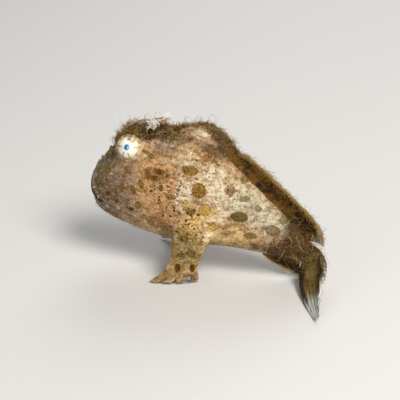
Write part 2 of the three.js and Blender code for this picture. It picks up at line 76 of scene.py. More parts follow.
camera.rotation_euler = to_camera.to_track_quat("Z", "Y").to_euler()
bpy.context.collection.objects.link(camera)
bpy.context.scene.camera = camera


# The flesh: one soft body, deep and flattened from side to side, that runs into a narrow tail stem.
# It is drawn out of a ball along its stations: x, height of back, height of belly, half width.
BODY = (
    (-24.4, 15.6, 15.6, 0),
    (-24.1, 18.6, 12.5, 2.6),
    (-22.8, 21.9, 10.9, 4.0),
    (-20.4, 24.9, 9.7, 4.8),
    (-17.0, 27.3, 8.3, 5.3),
    (-12.5, 28.8, 7.0, 6.0),
    (-7.0, 29.4, 6.0, 6.5),
    (-2.0, 28.6, 5.7, 6.6),
    (2.5, 26.0, 6.0, 6.1),
    (7.0, 21.5, 5.7, 5.2),
    (11.5, 17.0, 5.2, 4.0),
    (16.0, 12.7, 5.0, 2.8),
    (19.2, 9.3, 4.1, 1.9),
    (21.4, 7.4, 4.6, 1.2),
    (22.8, 6.4, 5.4, 0.6),
)
SQUARENESS = 2.3


def mix(a, b, share):
    return a + (b - a) * share


def clamp(value, low=0, high=1):
    return min(max(value, low), high)


def through(*points):
    """A smooth line through points: line(t) for t from 0 to 1."""
    stops = np.array(points, float)
    stops = np.vstack([2 * stops[0] - stops[1], stops, 2 * stops[-1] - stops[-2]])
    last = len(points) - 1

    def line(t):
        place = clamp(t) * last
        i = min(int(place), last - 1)
        f = place - i
        a, b, c, d = stops[i:i + 4]
        return b + 0.5 * f * (c - a + f * (2 * a - 5 * b + 4 * c - d + f * (3 * (b - c) + d - a)))
    return line


def drawn_out(rings, sides, ring):
    """A closed form drawn out of a ball: ring(t, angle) says where its rings lie. Its poles shut the ends."""
    form = bmesh.new()
    bmesh.ops.create_uvsphere(form, u_segments=sides, v_segments=rings + 1, radius=1)
    for vert in form.verts:
        step = round(math.acos(clamp(vert.co.z, -1, 1)) / math.pi * (rings + 1))
        t = clamp((step - 1) / (rings - 1))
        angle = math.atan2(vert.co.y, vert.co.x)
        if step in (0, rings + 1):
            vert.co = (ring(t, 0) + ring(t, math.pi)) / 2
        else:
            vert.co = ring(t, angle)
    bmesh.ops.remove_doubles(form, verts=form.verts, dist=1e-4)
    bmesh.ops.recalc_face_normals(form, faces=form.faces)
    return form


def limb(line, flat, size, rings, sides):
    """Oval rings along a line. size(t) gives half the breadth and half the thickness, which is along flat."""
    flat = Vector(flat)

    def ring(t, angle):
        along = Vector(line(min(1, t + 0.01)) - line(max(0, t - 0.01))).normalized()
        thin = (flat - along * flat.dot(along)).normalized()
        broad = along.cross(thin)
        breadth, thickness = size(t)
        return Vector(line(t)) + broad * math.cos(angle) * breadth + thin * math.sin(angle) * thickness
    return drawn_out(rings, sides, ring)


def ball(middle, radius):
    return drawn_out(15, 32, lambda t, angle: Vector(middle) + radius * Vector((
        math.sin(math.pi * mix(0.04, 0.96, t)) * math.cos(angle),
        math.sin(math.pi * mix(0.04, 0.96, t)) * math.sin(angle),
        math.cos(math.pi * mix(0.04, 0.96, t)),
    )))


body_line = through(*BODY)


def body_ring(t, angle):
    x, back, belly, side = body_line(t)
    across, up = math.cos(angle), math.sin(angle)
    reach = (abs(across) ** SQUARENESS + abs(up) ** SQUARENESS) ** (-1 / SQUARENESS)
    return Vector((x, across * reach * side, (back + belly) / 2 + up * reach * (back - belly) / 2))


body = drawn_out(90, 72, body_ring)
body_tree = BVHTree.FromBMesh(body)


def on_body(start, aim):
    """Where a straight line first meets the flesh."""
    return body_tree.ray_cast(Vector(start), Vector(aim).normalized())[0]


FAR_OUT = 60


def back_at(x):
    return on_body((x, 0, FAR_OUT), (0, 0, -1)).z


def belly_at(x):
    return on_body((x, 0, -FAR_OUT), (0, 0, 1)).z


def face_at(y, z):
    return on_body((-FAR_OUT, y, z), (1, 0, 0))


# Brow and nape: rounded sockets carry the eyes, a low ridge carries the crest, and the third spine of the
# back is buried in a blunt hump. All of it is the same soft skin.
LEFT, RIGHT = -1, 1
FLANKS = (LEFT, RIGHT)
SOCKET = (-16.0, 1.9, 25.45)
SOCKET_RADIUS = 3.3
CREST = {"front": -17.2, "rear": -7.8, "thick": 1.2, "sunk": 1.5}
crest_line = through(
    (CREST["front"], 0, 27.9), (-15.4, 0, 29.2), (-13.0, 0, 30.0), (-10.2, 0, 30.3), (CREST["rear"], 0, 29.7),
)
HUMP = {"front": -8.4, "rear": 5.8, "thick": 2.2, "sunk": 1.6}
hump_line = through(
    (HUMP["front"], 0, back_at(HUMP["front"]) - 0.4),
    (-6.2, 0, 30.3),
    (-3.6, 0, 31.1),
    (-1.2, 0, 31.3),
    (1.0, 0, 30.4),
    (3.4, 0, 28.2),
    (HUMP["rear"], 0, 25.4),
)


def vane(rings, sides, place, thick):
    """A thin upright form. place(u, v) runs along its root with u and out to its margin with v, and each ring
    goes out on its left face and back on its right one. thick(u, v) is its whole thickness."""
    def ring(u, angle):
        v = (1 - math.cos(angle)) / 2
        near_u, far_u = max(0, u - 0.01), min(1, u + 0.01)
        near_v, far_v = max(0, v - 0.01), min(1, v + 0.01)
        along = place(far_u, v) - place(near_u, v)
        outward = place(u, far_v) - place(u, near_v)
        aside = along.cross(outward).normalized()
        edge = min(1, abs(math.sin(angle)) * 3)
        return place(u, v) + aside * math.copysign(edge, math.sin(angle)) * thick(u, v) / 2
    return drawn_out(rings, sides, ring)


def ridge_on_back(spine, line):
    """A low form that stands on the back under a line, thickest in its middle."""
    def place(u, v):
        x = mix(spine["front"], spine["rear"], u)
        foot = Vector((x, 0, back_at(x) - spine["sunk"]))
        return foot.lerp(Vector(line(u)), v)

    def thick(u, v):
        return 2 * spine["thick"] * (1.1 - 0.8 * v * v) * (0.3 + 0.7 * math.sin(math.pi * mix(0.08, 0.92, u)))
    return vane(24, 24, place, thick)


flesh = [body, ridge_on_back(CREST, crest_line), ridge_on_back(HUMP, hump_line)]
for flank in FLANKS:
    flesh.append(ball((SOCKET[0], flank * SOCKET[1], SOCKET[2]), SOCKET_RADIUS))


# Arms: the pectoral fins stand on thick, soft arms that grow out of the flanks low behind the head.
# The right one is a step ahead of the left. Small pelvic feet hang between them.
STRIDE = 3.4
ARM_TOP, ARM_WRIST = (4.8, 2.6), (2.75, 0.5)
FOOT = {"x": -5.6, "y": 2.7, "ankle": 3.0}


def outward(flank, x, y, z):
    return (x - (STRIDE if flank == RIGHT else 0), flank * y, z)


def arm_of(flank):
    line = through(
        outward(flank, -2.5, 3.2, 12.8),
        outward(flank, -2.6, 5.9, 10.6),
        outward(flank, -2.9, 7.6, 8.2),
        outward(flank, -3.3, 8.3, 6.0),
        outward(flank, -3.7, 8.7, 4.5),
        outward(flank, -4.3, 9.1, 2.7),
    )

    def size(t):
        return mix(ARM_TOP[0], ARM_WRIST[0], min(1, t * 1.2) ** 0.7), mix(ARM_TOP[1], ARM_WRIST[1], t)
    return limb(line, (0, 1, 0.3), size, 28, 32)


def shin_of(flank):
    line = through(
        (FOOT["x"], flank * FOOT["y"], belly_at(FOOT["x"]) + 1.6),
        (FOOT["x"] + 0.2, flank * (FOOT["y"] + 0.7), FOOT["ankle"]),
    )
    return limb(line, (0, 1, 0), lambda t: (mix(1.7, 1.3, t), mix(1.2, 0.8, t)), 10, 20)


for flank in FLANKS:
    flesh += [arm_of(flank), shin_of(flank)]


# Fins: the flesh runs a little way out on to the fins of the back, the belly and the tail, and thins
# between their rays. Each fin is a sheet, drawn from its root (v = 0) to its margin (v = 1) and along its
# root (u).
FLOOR_GAP = 0.02
dorsal_margin = through(
    (4.9, 0, 26.4), (7.6, 0, 25.4), (11.8, 0, 22.5), (15.9, 0, 18.8),
    (19.9, 0, 14.8), (22.4, 0, 11.4), (22.7, 0, 8.9),
)


def dorsal_place(u, v):
    x = mix(3.9, 18.6, u)
    foot = Vector((x, 0, back_at(x) - 0.9))
    point = foot.lerp(Vector(dorsal_margin(u)), v)
    point.y = -0.9 * v * v + 0.3 * v * math.sin(u * 11)
    return point


anal_margin = through((10.6, 0, 4.4), (12.0, 0, 3.1), (14.2, 0, 2.2), (16.4, 0, 1.0), (18.3, 0, 0.05))


def anal_place(u, v):
    x = mix(9.6, 18.0, u)
    foot = Vector((x, 0, belly_at(x) + 0.9))
    point = foot.lerp(Vector(anal_margin(u)), v)
    point.y = 0.25 * v * math.sin(u * 9)
    return point


tail_roots = through((22.0, 0, 6.6), (20.6, 0, 5.4), (18.9, 0, 4.6))
tail_bends = through((25.4, -3.0, 5.6), (22.8, -4.4, 2.4), (17.4, -4.6, -0.2))
tail_tips = through((23.9, -13.0, 3.7), (24.9, -16.2, 1.6), (24.2, -16.0, 0.1))


def tail_place(u, v):
    a, b, c = (Vector(line(u)) for line in (tail_roots, tail_bends, tail_tips))
    point = a * (1 - v) ** 2 + b * 2 * v * (1 - v) + c * v * v
    point.z = max(point.z, 0.15)
    return point


def root_of(place, reach, thick_root, thick_edge):
    """The fleshy root of a fin, out to a share of its breadth."""
    def fleshy(u, v):
        return place(mix(0.02, 0.98, u), v * reach)
    return vane(48, 24, fleshy, lambda u, v: mix(thick_root, thick_edge, v))


flesh += [
    root_of(dorsal_place, 0.5, 2.6, 0.6),
    root_of(anal_place, 0.6, 2.2, 0.55),
    root_of(tail_place, 0.42, 2.4, 0.6),
]


def gathered(forms):
    """Several forms as one."""
    whole = bmesh.new()
    for form in forms:
        part = bpy.data.meshes.new("part")
        form.to_mesh(part)
        whole.from_mesh(part)
        bpy.data.meshes.remove(part)
    return whole


def soften(form, verts, rounds):
    """Draws some of a form's points in between their neighbours."""
    for _ in range(rounds):
        bmesh.ops.smooth_vert(
            form, verts=verts, factor=0.5, use_axis_x=True, use_axis_y=True, use_axis_z=True,
        )


def one_surface(forms, grain, softening):
    """One closed surface round several forms that run into each other, with softened seams between them."""
    rough = bpy.data.meshes.new("rough")
    gathered(forms).to_mesh(rough)
    carrier = bpy.data.objects.new("rough", rough)
    bpy.context.collection.objects.link(carrier)
    remesh = carrier.modifiers.new("remesh", "REMESH")
    remesh.mode = "VOXEL"
    remesh.voxel_size = grain
    bpy.context.view_layer.update()
    closed = bpy.data.meshes.new_from_object(carrier.evaluated_get(bpy.context.evaluated_depsgraph_get()))
    bpy.data.objects.remove(carrier)
    surface = bmesh.new()
    surface.from_mesh(closed)
    bpy.data.meshes.remove(closed)
    soften(surface, surface.verts, softening)
    return surface


FLESH_GRAIN = 0.3
soft_flesh = one_surface(flesh, FLESH_GRAIN, 10)

# Mouth: steep and shut, high on the snout, with a thick lower lip and a thinner upper one.
# Two short tubes on each side of the snout are the nostrils.
MOUTH = {"front": 20.0, "corner": 13.6, "reach": 4.0}
# Each lip: how far above the slit its middle lies, and its radius.
LIPS = ((0.72, 0.84), (-0.9, 1.0))
NOSTRILS = ((-21.6, 23.0), (-20.2, 24.3))
NOSTRIL_REACH = 0.75


def mouth_line(rise, sunk):
    points = []
    for i in range(-7, 8):
        out = i / 7
        high = mix(MOUTH["front"], MOUTH["corner"], abs(out) ** 1.9)
        points.append(face_at(out * MOUTH["reach"], high + rise * (1 - abs(out) ** 3)) + Vector((sunk, 0, 0)))
    return through(*points)


def nostril(flank, x, z):
    """Where a nostril's tube leaves the snout, and which way it points."""
    return on_body((x, flank * FAR_OUT, z), (0, -flank, 0)), Vector((-0.5, flank, 0.6)).normalized()


details = [
    limb(
        mouth_line(rise, 0.35), (0, 0.1, 1),
        lambda t, r=radius: [mix(r, 0.15, abs(2 * t - 1) ** 4)] * 2, 60, 14,
    )
    for rise, radius in LIPS
]
for flank in FLANKS:
    for x, z in NOSTRILS:
        foot, aim = nostril(flank, x, z)
        tube = through(foot - aim * 0.6, foot + aim * 0.3, foot + aim * NOSTRIL_REACH)
        details.append(limb(tube, (0, 0, 1), lambda t: [mix(0.5, 0.36, t)] * 2, 8, 14))

# Hands: eight stubby rays on each arm, close together in pairs, webbed half way and ending in soft claws
# that stand on the ground. How far round the hand each ray lies is given from front to rear. Feet have five
# rays.
HAND_RAYS = (0, 0.11, 0.3, 0.41, 0.59, 0.7, 0.89, 1)
FOOT_RAYS = 5
WRIST = 5.9


def bezier(*stops):
    """The smooth line that four stops pull into shape."""
    a, b, c, d = (Vector(stop) for stop in stops)

    def line(t):
        s = 1 - t
        return a * s ** 3 + b * 3 * s * s * t + c * 3 * s * t * t + d * t ** 3
    return line


def finger(flank, f):
    arch = math.sin(math.pi * f)
    knuckle = Vector(outward(flank, mix(-5.4, -1.3, f), 8.3, WRIST))
    bend = Vector(outward(flank, mix(-7.4, -1.1, f), mix(9.3, 8.0, f) + 0.5 * arch, 1.6))
    tip = Vector(outward(flank, mix(-10.4, -1.3, f), mix(9.7, 6.6, f) + 0.9 * arch, 0.32))
    return bezier(knuckle + Vector((0, 0, 1.2)), knuckle.lerp(bend, 0.5), bend, tip)


def finger_size(t):
    """Half a finger's thickness, which tapers quicker in the claw."""
    return [mix(0.7, 0.4, t ** 0.8) * (1 if t < 0.9 else mix(1, 0.6, (t - 0.9) * 10))] * 2


def toe(flank, f):
    knuckle = Vector((FOOT["x"] + 0.2 + mix(-0.9, 0.9, f), flank * (FOOT["y"] + 0.7), FOOT["ankle"] + 0.6))
    tip = Vector((FOOT["x"] + mix(-2.3, 1.9, f), flank * (FOOT["y"] + 1.6), 0.3))
    bend = knuckle.lerp(tip, 0.75)
    bend.z = 0.9
    return bezier(knuckle, knuckle.lerp(bend, 0.7), bend, tip)


for flank in FLANKS:
    for f in HAND_RAYS:
        details.append(limb(finger(flank, f), (0, 1, 0), finger_size, 24, 12))

    def web_place(u, v, flank=flank):
        off_ray = min(abs(u - f) for f in HAND_RAYS)
        valley = 1 - 0.45 * clamp((off_ray - 0.03) / 0.06)
        return finger(flank, u)(v * 0.58 * valley)
    details.append(vane(57, 20, web_place, lambda u, v: mix(1.0, 0.45, v)))
    for i in range(FOOT_RAYS):
        f = i / (FOOT_RAYS - 1)
        details.append(limb(toe(flank, f), (0, 1, 0), lambda t: [mix(0.54, 0.38, t)] * 2, 16, 10))

# Skin: one surface over all of the flesh, with soft folds at the arms and the mouth and fine unevenness all
# over.
SKIN_GRAIN = 0.2
skin_form = one_surface([soft_flesh] + details, SKIN_GRAIN, 3)
soften(skin_form, [vert for vert in skin_form.verts if 2.6 < vert.co.z < 8.2 and abs(vert.co.y) > 5.2], 36)
soften(skin_form, [vert for vert in skin_form.verts if vert.co.z < 3.2], 7)


def near_line(places, line, steps=60):
    """How far each place is from a line."""
    points = np.array([line(i / steps) for i in range(steps + 1)])
    return np.min([np.linalg.norm(places - point, axis=1) for point in points], axis=0)


def eye_middle(flank):
    return Vector((LEFT_EYE.x, flank * -LEFT_EYE.y, LEFT_EYE.z))


def bell(distance, width):
    """1 at no distance, and next to nothing past twice the width."""
    return np.exp(-(distance / width) ** 2)


def bump_field(places, per_mm, seed):
    """Smooth random heights, one for each place."""
    shift = Vector((seed * 7.3, seed * 3.1, seed * 5.7))
    return np.array([noise.noise(Vector(place) * per_mm + shift) for place in places])


skin_form.verts.ensure_lookup_table()
skin_form.normal_update()
skin_places = np.array([vert.co for vert in skin_form.verts])
skin_normals = np.array([vert.normal for vert in skin_form.verts])
on_trunk = np.clip((skin_places[:, 2] - 5) / 3, 0.15, 1)
rise = 0.16 * bump_field(skin_places, 0.33, 1) * on_trunk
rise += 0.07 * bump_field(skin_places, 1.1, 2) * on_trunk
rise += 0.03 * bump_field(skin_places * [1, 1, 2.2], 1.6, 3)
slit_line = mouth_line(0, 0.1)
rise -= 0.9 * bell(near_line(skin_places, slit_line), 0.34)
for flank in FLANKS:
    corner = Vector(mouth_line(0, 0)(0 if flank == LEFT else 1))
    fold = through(
        corner + Vector((-0.2, 0, 1.5)),
        corner + Vector((0.9, flank * 0.4, 0.2)),
        corner + Vector((0.8, 0, -1.8)),
    )
    rise -= 0.22 * bell(near_line(skin_places, fold), 0.35)
    rim = np.linalg.norm(skin_places - np.array(eye_middle(flank)), axis=1) - 2.3
    rise += 0.3 * bell(rim - 0.25, 0.35)
    for x, z in NOSTRILS:
        foot, aim = nostril(flank, x, z)
        rise -= 0.3 * bell(np.linalg.norm(skin_places - np.array(foot + aim * NOSTRIL_REACH), axis=1), 0.2)
for vert, step, normal in zip(skin_form.verts, rise, skin_normals):
    vert.co += Vector(normal) * float(step)
    vert.co.z = max(vert.co.z, FLOOR_GAP)
skin_form.normal_update()
skin_tree = BVHTree.FromBMesh(skin_form)
skin_places = np.array([vert.co for vert in skin_form.verts])
skin_normals = np.array([vert.normal for vert in skin_form.verts])


# Markings: oval olive and brown spots, and soft patches of colour under them. They are placed as they show
# in the picture, in its dots, and the flank that it doesn't show has the same kind, a little shifted.
def sight_line(x, y):
    """Where the camera stands, and which way a dot of the picture lies from there."""
    across, down = x - PICTURE / 2, y - PICTURE / 2
    aim = picture_right * across * DOT - picture_up * down * DOT - to_camera * CAMERA_AWAY
    return CAMERA_AIM + to_camera * CAMERA_AWAY, aim.normalized()


def seen_at(x, y):
    """The skin that shows at a dot of the picture, or else what lies nearest behind it, and how it faces."""
    start, aim = sight_line(x, y)
    place, normal, _, _ = skin_tree.ray_cast(start, aim)
    if place is None:
        middle = start + aim * (CAMERA_AIM - start).dot(aim)
        place, normal, _, _ = skin_tree.find_nearest(middle)
    return place, normal


# Each spot: dot across, dot down, half length and half height in dots, lean in degrees, its kind of colour,
# and how plainly it shows. The kind runs from 0, olive, over 0.4, amber, to 1, dark brown. Below 0 the
# olive turns greyer, and at -2 it is yellow.
YELLOW_KIND = -2
SPOTS = (
    (107, 171, 4, 2.6, 30, -0.2, 1), (116, 165, 3, 2.6, 0, 0.3, 0.4), (100, 176, 3.5, 3, 0, -0.3, 0.8),
    (107, 182, 2.2, 3.6, 0, -0.3, 1), (108, 193, 2.6, 2.8, 0, 1, 1), (113, 190, 2.6, 2, 0, 0.2, 0.5),
    (117, 201, 2.6, 2.2, 0, 1, 1), (122, 187, 2.4, 4.8, 0, -0.3, 1), (133, 190, 2.6, 5, 14, -0.2, 1),
    (141, 184, 2.6, 5, 16, 0.1, 1), (138, 205, 3.4, 3.6, 0, -0.1, 1), (131, 209, 3, 2.2, -20, 1, 1),
    (126, 170, 1.8, 4.2, 0, -0.2, 0.9), (124, 160, 1.3, 4.6, -8, 0.1, 0.6),
    (132, 162, 1.3, 5, 10, 0.2, 0.6), (146, 152, 5, 1.8, -24, -0.2, 0.9),
    (151, 156, 3.4, 2.2, -50, -0.2, 0.9), (145, 191, 2.2, 1.8, 0, 0.8, 0.7),
    (148, 175, 3.6, 5, 20, 0.8, 0.9), (154, 178, 4.4, 3.4, 0, 0.9, 0.9), (159, 172, 4.2, 3.2, -20, 1, 1),
    (166, 176, 4.6, 2.2, 0, 0.9, 0.9), (151, 191, 1.7, 1.5, 0, 1, 0.9), (161, 188, 2.8, 3.4, 0, -0.3, 1),
    (161, 208, 2, 6, 8, 0.1, 0.5), (171, 197, 5.5, 2.6, -10, 0.5, 0.9), (175, 155, 4, 3.6, 0, 0.2, 0.4),
    (162, 154, 3, 2.4, 0, 0.1, 0.3), (190, 171, 8.2, 4.6, -4, 0.3, 1), (199, 191, 7, 7.2, 0, 0.5, 1),
    (186, 206, 4, 6, 10, -2, 0.8), (205, 210, 6, 6.4, -30, -2, 0.85), (190, 212, 5, 3.4, 0, 0.7, 0.9),
    (213, 227, 7.6, 3.8, 22, -2, 0.85), (239, 217, 8.8, 5, -2, -0.6, 1), (250, 236, 7, 3.4, -6, -0.5, 0.8),
    (273, 231, 7.6, 5.2, -20, -0.6, 0.75), (229, 233, 7, 1.8, 0, 0.3, 0.6),
    (230, 191, 5.8, 4.8, 10, 0.75, 0.85), (246, 179, 6, 3.6, 35, -0.5, 0.8),
    (245, 199, 6, 3, 10, -0.5, 0.8), (226, 180, 5, 3.6, 30, 0.1, 0.5), (258, 209, 3.6, 3.4, 0, -0.4, 0.75),
    (284, 220, 5.6, 4, 30, -0.6, 0.75), (268, 209, 4, 3, 20, -0.3, 0.4), (208, 157, 6.5, 4, 20, 0.8, 0.8),
    (214, 161, 3, 2.4, 0, 1, 0.7), (217, 166, 3.4, 2.2, 0, 0.4, 0.6), (184, 152, 3.4, 2.2, 0, 0.3, 0.5),
    (196, 150, 3, 2, 20, 0.25, 0.5), (150, 222, 4.6, 3, -20, 0.5, 0.7), (163, 215, 1.8, 1.4, 0, 0.9, 0.8),
    (184, 239, 4.4, 3, 0, -0.5, 0.95), (180, 256, 3.2, 3.2, 0, -0.4, 0.9),
    (191, 254, 4.2, 4.2, 0, -0.4, 0.9), (186, 226, 3, 4, 30, 0.5, 0.7), (178, 190, 2, 2, 0, 0.8, 0.8),
    # The two dark ovals at 177.5 and 192.5 across darken the hand where its rays part.
    (203, 228, 2.4, 2, 0, 0.5, 0.6), (176, 222, 2.6, 1.6, 0, 0.5, 0.7), (177.5, 268, 3.2, 4.8, 0, 1.3, 1),
    (192.5, 268, 3, 4.6, 0, 1, 1), (165, 272, 2.4, 3, 30, 0.6, 0.9), (181, 258, 2.6, 2.4, 0, 0.3, 0.7),
    (200, 243, 2.4, 2.2, 0, 0.4, 0.7), (174, 246, 2, 2.4, 0, 0.6, 0.6),
)
# The larger dark specks, all of one kind: dot across, dot down, and half length in dots.
SPECKS = (
    (159, 170, 1.5), (155, 169, 1.2), (165, 176, 1.6), (150, 162, 1.1), (146, 163, 0.9), (160, 183, 1.2),
    (151, 191, 1.6), (179, 190, 1.5), (174, 208, 1.4), (174, 211, 1.5), (173, 206, 1), (159, 200, 1.5),
    (159, 197, 1.3), (158, 203, 1.2), (163, 216, 1.6), (179, 213, 1.5), (170, 216, 1.3), (188, 213, 1.9),
    (191, 215, 1.6), (194, 210, 1.6), (198, 215, 1.6), (186, 220, 1.2), (144, 215, 1.3), (179, 221, 1.3),
    (181, 183, 1.1), (179, 174, 1.2), (180, 186, 1), (174, 174, 1.2), (173, 178, 1.1), (186, 189, 1),
    (184, 187, 1), (197, 179, 1.4), (177, 194, 1.1), (192, 217, 1.2), (186, 221, 1.5), (189, 224, 1.5),
    (192, 226, 1.2), (194, 229, 1.4), (177, 232, 1.4), (187, 234, 1.9), (196, 235, 1.5), (203, 237, 1.3),
    (226, 234, 1.6), (171, 227, 1.1), (230, 196, 1.2), (168, 187, 1), (171, 183, 0.9), (176, 186, 1),
    (182, 193, 0.9), (171, 190, 0.9), (166, 194, 1), (183, 176, 1), (188, 178, 0.9), (203, 164, 1),
    (208, 168, 0.9), (214, 160, 1.2), (219, 165, 1), (228, 186, 1.1), (234, 192, 1.1), (232, 185, 0.9),
    (245, 207, 0.9), (206, 150, 1), (198, 144, 1.1), (190, 139, 1.2), (178, 145, 1), (167, 143, 0.9),
    (184, 133, 1.2), (174, 138, 1.3), (166, 207, 0.9), (170, 202, 0.9), (183, 203, 1), (178, 201, 0.9),
)
# Soft patches by colour: dot across, dot down, half length and half height in dots, lean in degrees, and
# strength.
PATCHES = {
    "mauve": (
        (112, 184, 34, 40, 10, 0.9), (124, 196, 26, 26, -20, 0.6), (262, 217, 28, 13, -32, 0.4),
    ),
    # Along the front of the face, by the eye and on the chin, the grey is partly the skin's own duller colour
    # and partly painted shade.
    "grey": (
        (92, 184, 12, 34, 14, 0.55), (108, 150, 16, 17, 40, 0.55), (108, 212, 22, 9, -32, 0.6),
        (99, 185, 24, 40, 10, 0.4),
    ),
    "tan": (
        (128, 178, 26, 22, 0, 0.6), (140, 212, 26, 16, -30, 0.6), (196, 162, 8, 4, 0, 0.6),
        (186, 233, 17, 9, 0, 0.55), (186, 258, 16, 14, 0, 0.4),
    ),
    "pink": (
        (153, 145, 13, 8, -10, 1), (130, 166, 16, 8, 0, 0.5), (266, 228, 24, 12, -10, 0.6),
    ),
    "blush": (
        (158, 192, 24, 26, 0, 1), (170, 212, 18, 16, 0, 0.6), (150, 172, 18, 10, 0, 0.8),
        (150, 152, 16, 12, 0, 0.5), (168, 226, 22, 10, -20, 0.7),
    ),
    "brown": (
        (152, 135, 26, 6, 0, 0.8), (155, 175, 14, 8, 0, 0.6), (215, 152, 20, 7, -28, 0.7),
        (222, 140, 18, 7, -38, 1), (190, 121, 26, 5, 0, 0.6), (180, 142, 20, 3, -6, 0.2),
        (228, 150, 12, 6, -30, 0.8), (158, 224, 14, 8, -25, 0.5), (300, 246, 20, 16, 30, 1),
        (308, 226, 16, 10, -50, 0.9), (236, 154, 12, 4, -38, 0.8), (262, 248, 18, 4, -12, 0.5),
        (278, 252, 14, 9, -10, 0.9), (319, 253, 14, 12, 0, 1), (302, 236, 18, 12, -20, 1),
    ),
    "white": (
        (130.5, 146.5, 14, 13, 0, 0.6), (204, 135, 13, 5, -8, 1), (186, 158, 12, 8, 0, 0.5),
        (176, 144, 17, 4, -4, 0.6), (214, 186, 18, 20, 0, 0.8), (186, 186, 10, 12, 0, 0.6),
        (250, 205, 34, 20, -30, 0.45), (276, 222, 22, 9, -35, 0.35), (222, 202, 20, 16, 0, 0.7),
        (165, 146, 14, 6, 0, 0.4), (182, 199, 9, 13, 0, 0.85), (232, 236, 18, 5, 6, 0.5),
        (216, 220, 14, 7, 0, 1), (212, 236, 16, 6, 0, 0.9),
    ),
    "yellow": (
        (230, 236, 28, 9, 6, 1), (200, 216, 18, 12, 0, 0.8), (184, 232, 14, 12, 0, 0.8),
        (190, 256, 20, 20, 0, 0.9), (165, 276, 20, 14, 30, 0.7), (150, 224, 16, 7, -30, 0.4),
    ),
    "olive": (
        (187, 250, 20, 22, 0, 0.95), (172, 232, 12, 10, -30, 0.6), (160, 276, 22, 10, 30, 0.7),
    ),
    "cool": (
        (252, 208, 34, 20, -32, 0.9), (278, 226, 22, 14, -30, 0.9), (104, 176, 18, 30, 10, 0.6),
        (118, 204, 20, 12, -30, 0.5), (212, 176, 18, 12, -30, 0.4),
    ),
    "specked": (
        (178, 184, 14, 16, 0, 1), (164, 196, 16, 20, 0, 0.7), (196, 216, 18, 18, 0, 1),
        (186, 236, 16, 16, 0, 0.6), (176, 208, 12, 12, 0, 0.8), (208, 160, 26, 14, 0, 0.6),
        (176, 136, 26, 8, 0, 0.8), (232, 192, 12, 10, 0, 0.6), (240, 232, 20, 8, 0, 0.4),
        (300, 240, 24, 20, 0, 0.8), (130, 178, 40, 40, 0, 0.2),
    ),
}


def mirror(flank):
    """What a place on the left flank is multiplied by to lie on the flank that is asked for."""
    return Vector((1, -flank, 1))


def blots(rows, unevenness):
    """Each row's blot on both flanks: its middle, how the skin faces there, and its two axes in mm."""
    rng = random.Random(17)
    found = []
    for x, y, half_long, half_high, lean, *values in rows:
        middle, normal = seen_at(x, y)
        turn = math.radians(lean)
        long_way = picture_right * math.cos(turn) + picture_up * math.sin(turn)
        high_way = picture_up * math.cos(turn) - picture_right * math.sin(turn)
        axes = []
        for way, half in ((long_way, half_long), (high_way, half_high)):
            flat = way - normal * way.dot(normal)
            axes.append(flat.normalized() / (half * DOT / max(flat.length, 0.55)))
        depth = normal / clamp(min(half_long, half_high) * DOT * 1.2, 1.0, 5.0)
        for flank in FLANKS:
            over = mirror(flank)
            shift = Vector((0, 0, 0))
            if flank == RIGHT:
                shift = Vector((rng.uniform(-1, 1), 0, rng.uniform(-1, 1))) * unevenness
            found.append((middle * over + shift, [axis * over for axis in axes], depth * over, values))
    return found


def blot_field(places, blot):
    """1 in the middle of a blot, 0 at its edge and less outside."""
    middle, axes, depth, _ = blot
    away = places - np.array(middle)
    return 1 - np.sqrt(sum((away @ np.array(axis)) ** 2 for axis in (*axes, depth)))


SPECK_KIND = 1.2
spot_blots = blots(SPOTS, 0.8)
spot_blots += blots([(x, y, half, half * 0.8, 7 * x, SPECK_KIND, 1) for x, y, half in SPECKS], 1.0)
# The spots of the front of the face, which the picture doesn't show: aside, up, half width, half height,
# and kind.
FACE_PLAINNESS = 0.9
FACE_SPOTS = (
    (2.3, 25, 0.5, 0.8, -0.2), (-2.6, 24.4, 0.5, 0.9, 0), (0.2, 23.6, 0.4, 0.7, 0.3),
    (3.7, 22.4, 0.4, 0.8, -0.3), (-3.9, 21.9, 0.4, 0.7, -0.2), (1.9, 21.9, 0.4, 0.4, 0.8),
    (3.9, 17.6, 0.4, 0.7, 0.2), (-4, 17.2, 0.4, 0.7, -0.2), (2.1, 13.2, 0.6, 0.5, -0.2),
    (-1.7, 13.6, 0.4, 0.5, 0.8), (-3.1, 12.2, 0.5, 0.5, 0.1), (0.3, 11.9, 0.6, 0.4, 0.4),
    (-1.4, 22.3, 0.3, 0.4, 0.6), (3.3, 15, 0.3, 0.4, 0.9), (-3.4, 14.8, 0.4, 0.5, -0.3),
    (3.2, 12, 0.4, 0.4, 0.6),
)
for y, z, half_wide, half_high, kind in FACE_SPOTS:
    middle, normal, _, _ = skin_tree.ray_cast(Vector((-FAR_OUT, y, z)), Vector((1, 0, 0)))
    axes = []
    for way, half in ((Vector((0, 1, 0)), half_wide), (Vector((0, 0, 1)), half_high)):
        axes.append((way - normal * way.dot(normal)).normalized() / half)
    spot_blots.append((middle, axes, normal, (kind, FACE_PLAINNESS)))
patch_blots = {patch: blots(rows, 1.2) for patch, rows in PATCHES.items()}


def markings(places):
    """The strength of every marking at each place."""
    fields = np.array([blot_field(places, blot) for blot in spot_blots])
    nearest = np.argmax(fields, axis=0)
    dark, plain = np.array([blot[3] for blot in spot_blots])[nearest].T
    marks = {"spot": np.max(fields, axis=0).clip(-1, 1), "dark": dark, "plain": plain}
    for patch, rows in patch_blots.items():
        bare = np.ones(len(places))
        for blot in rows:
            bare *= 1 - np.clip(blot_field(places, blot) * 1.4 + 0.35, 0, 1) * blot[3][0]
        marks[patch] = 1 - bare
    return marks


def fin_grid(place, steps_u=90, steps_v=30):
    """A fin's sheet as a tree of places, with how far along its root and out to its margin each one lies."""
    grid = [(i / steps_u, j / steps_v) for i in range(steps_u + 1) for j in range(steps_v + 1)]
    tree = KDTree(len(grid))
    for k, (u, v) in enumerate(grid):
        tree.insert(place(u, v), k)
    tree.balance()
    return tree, grid


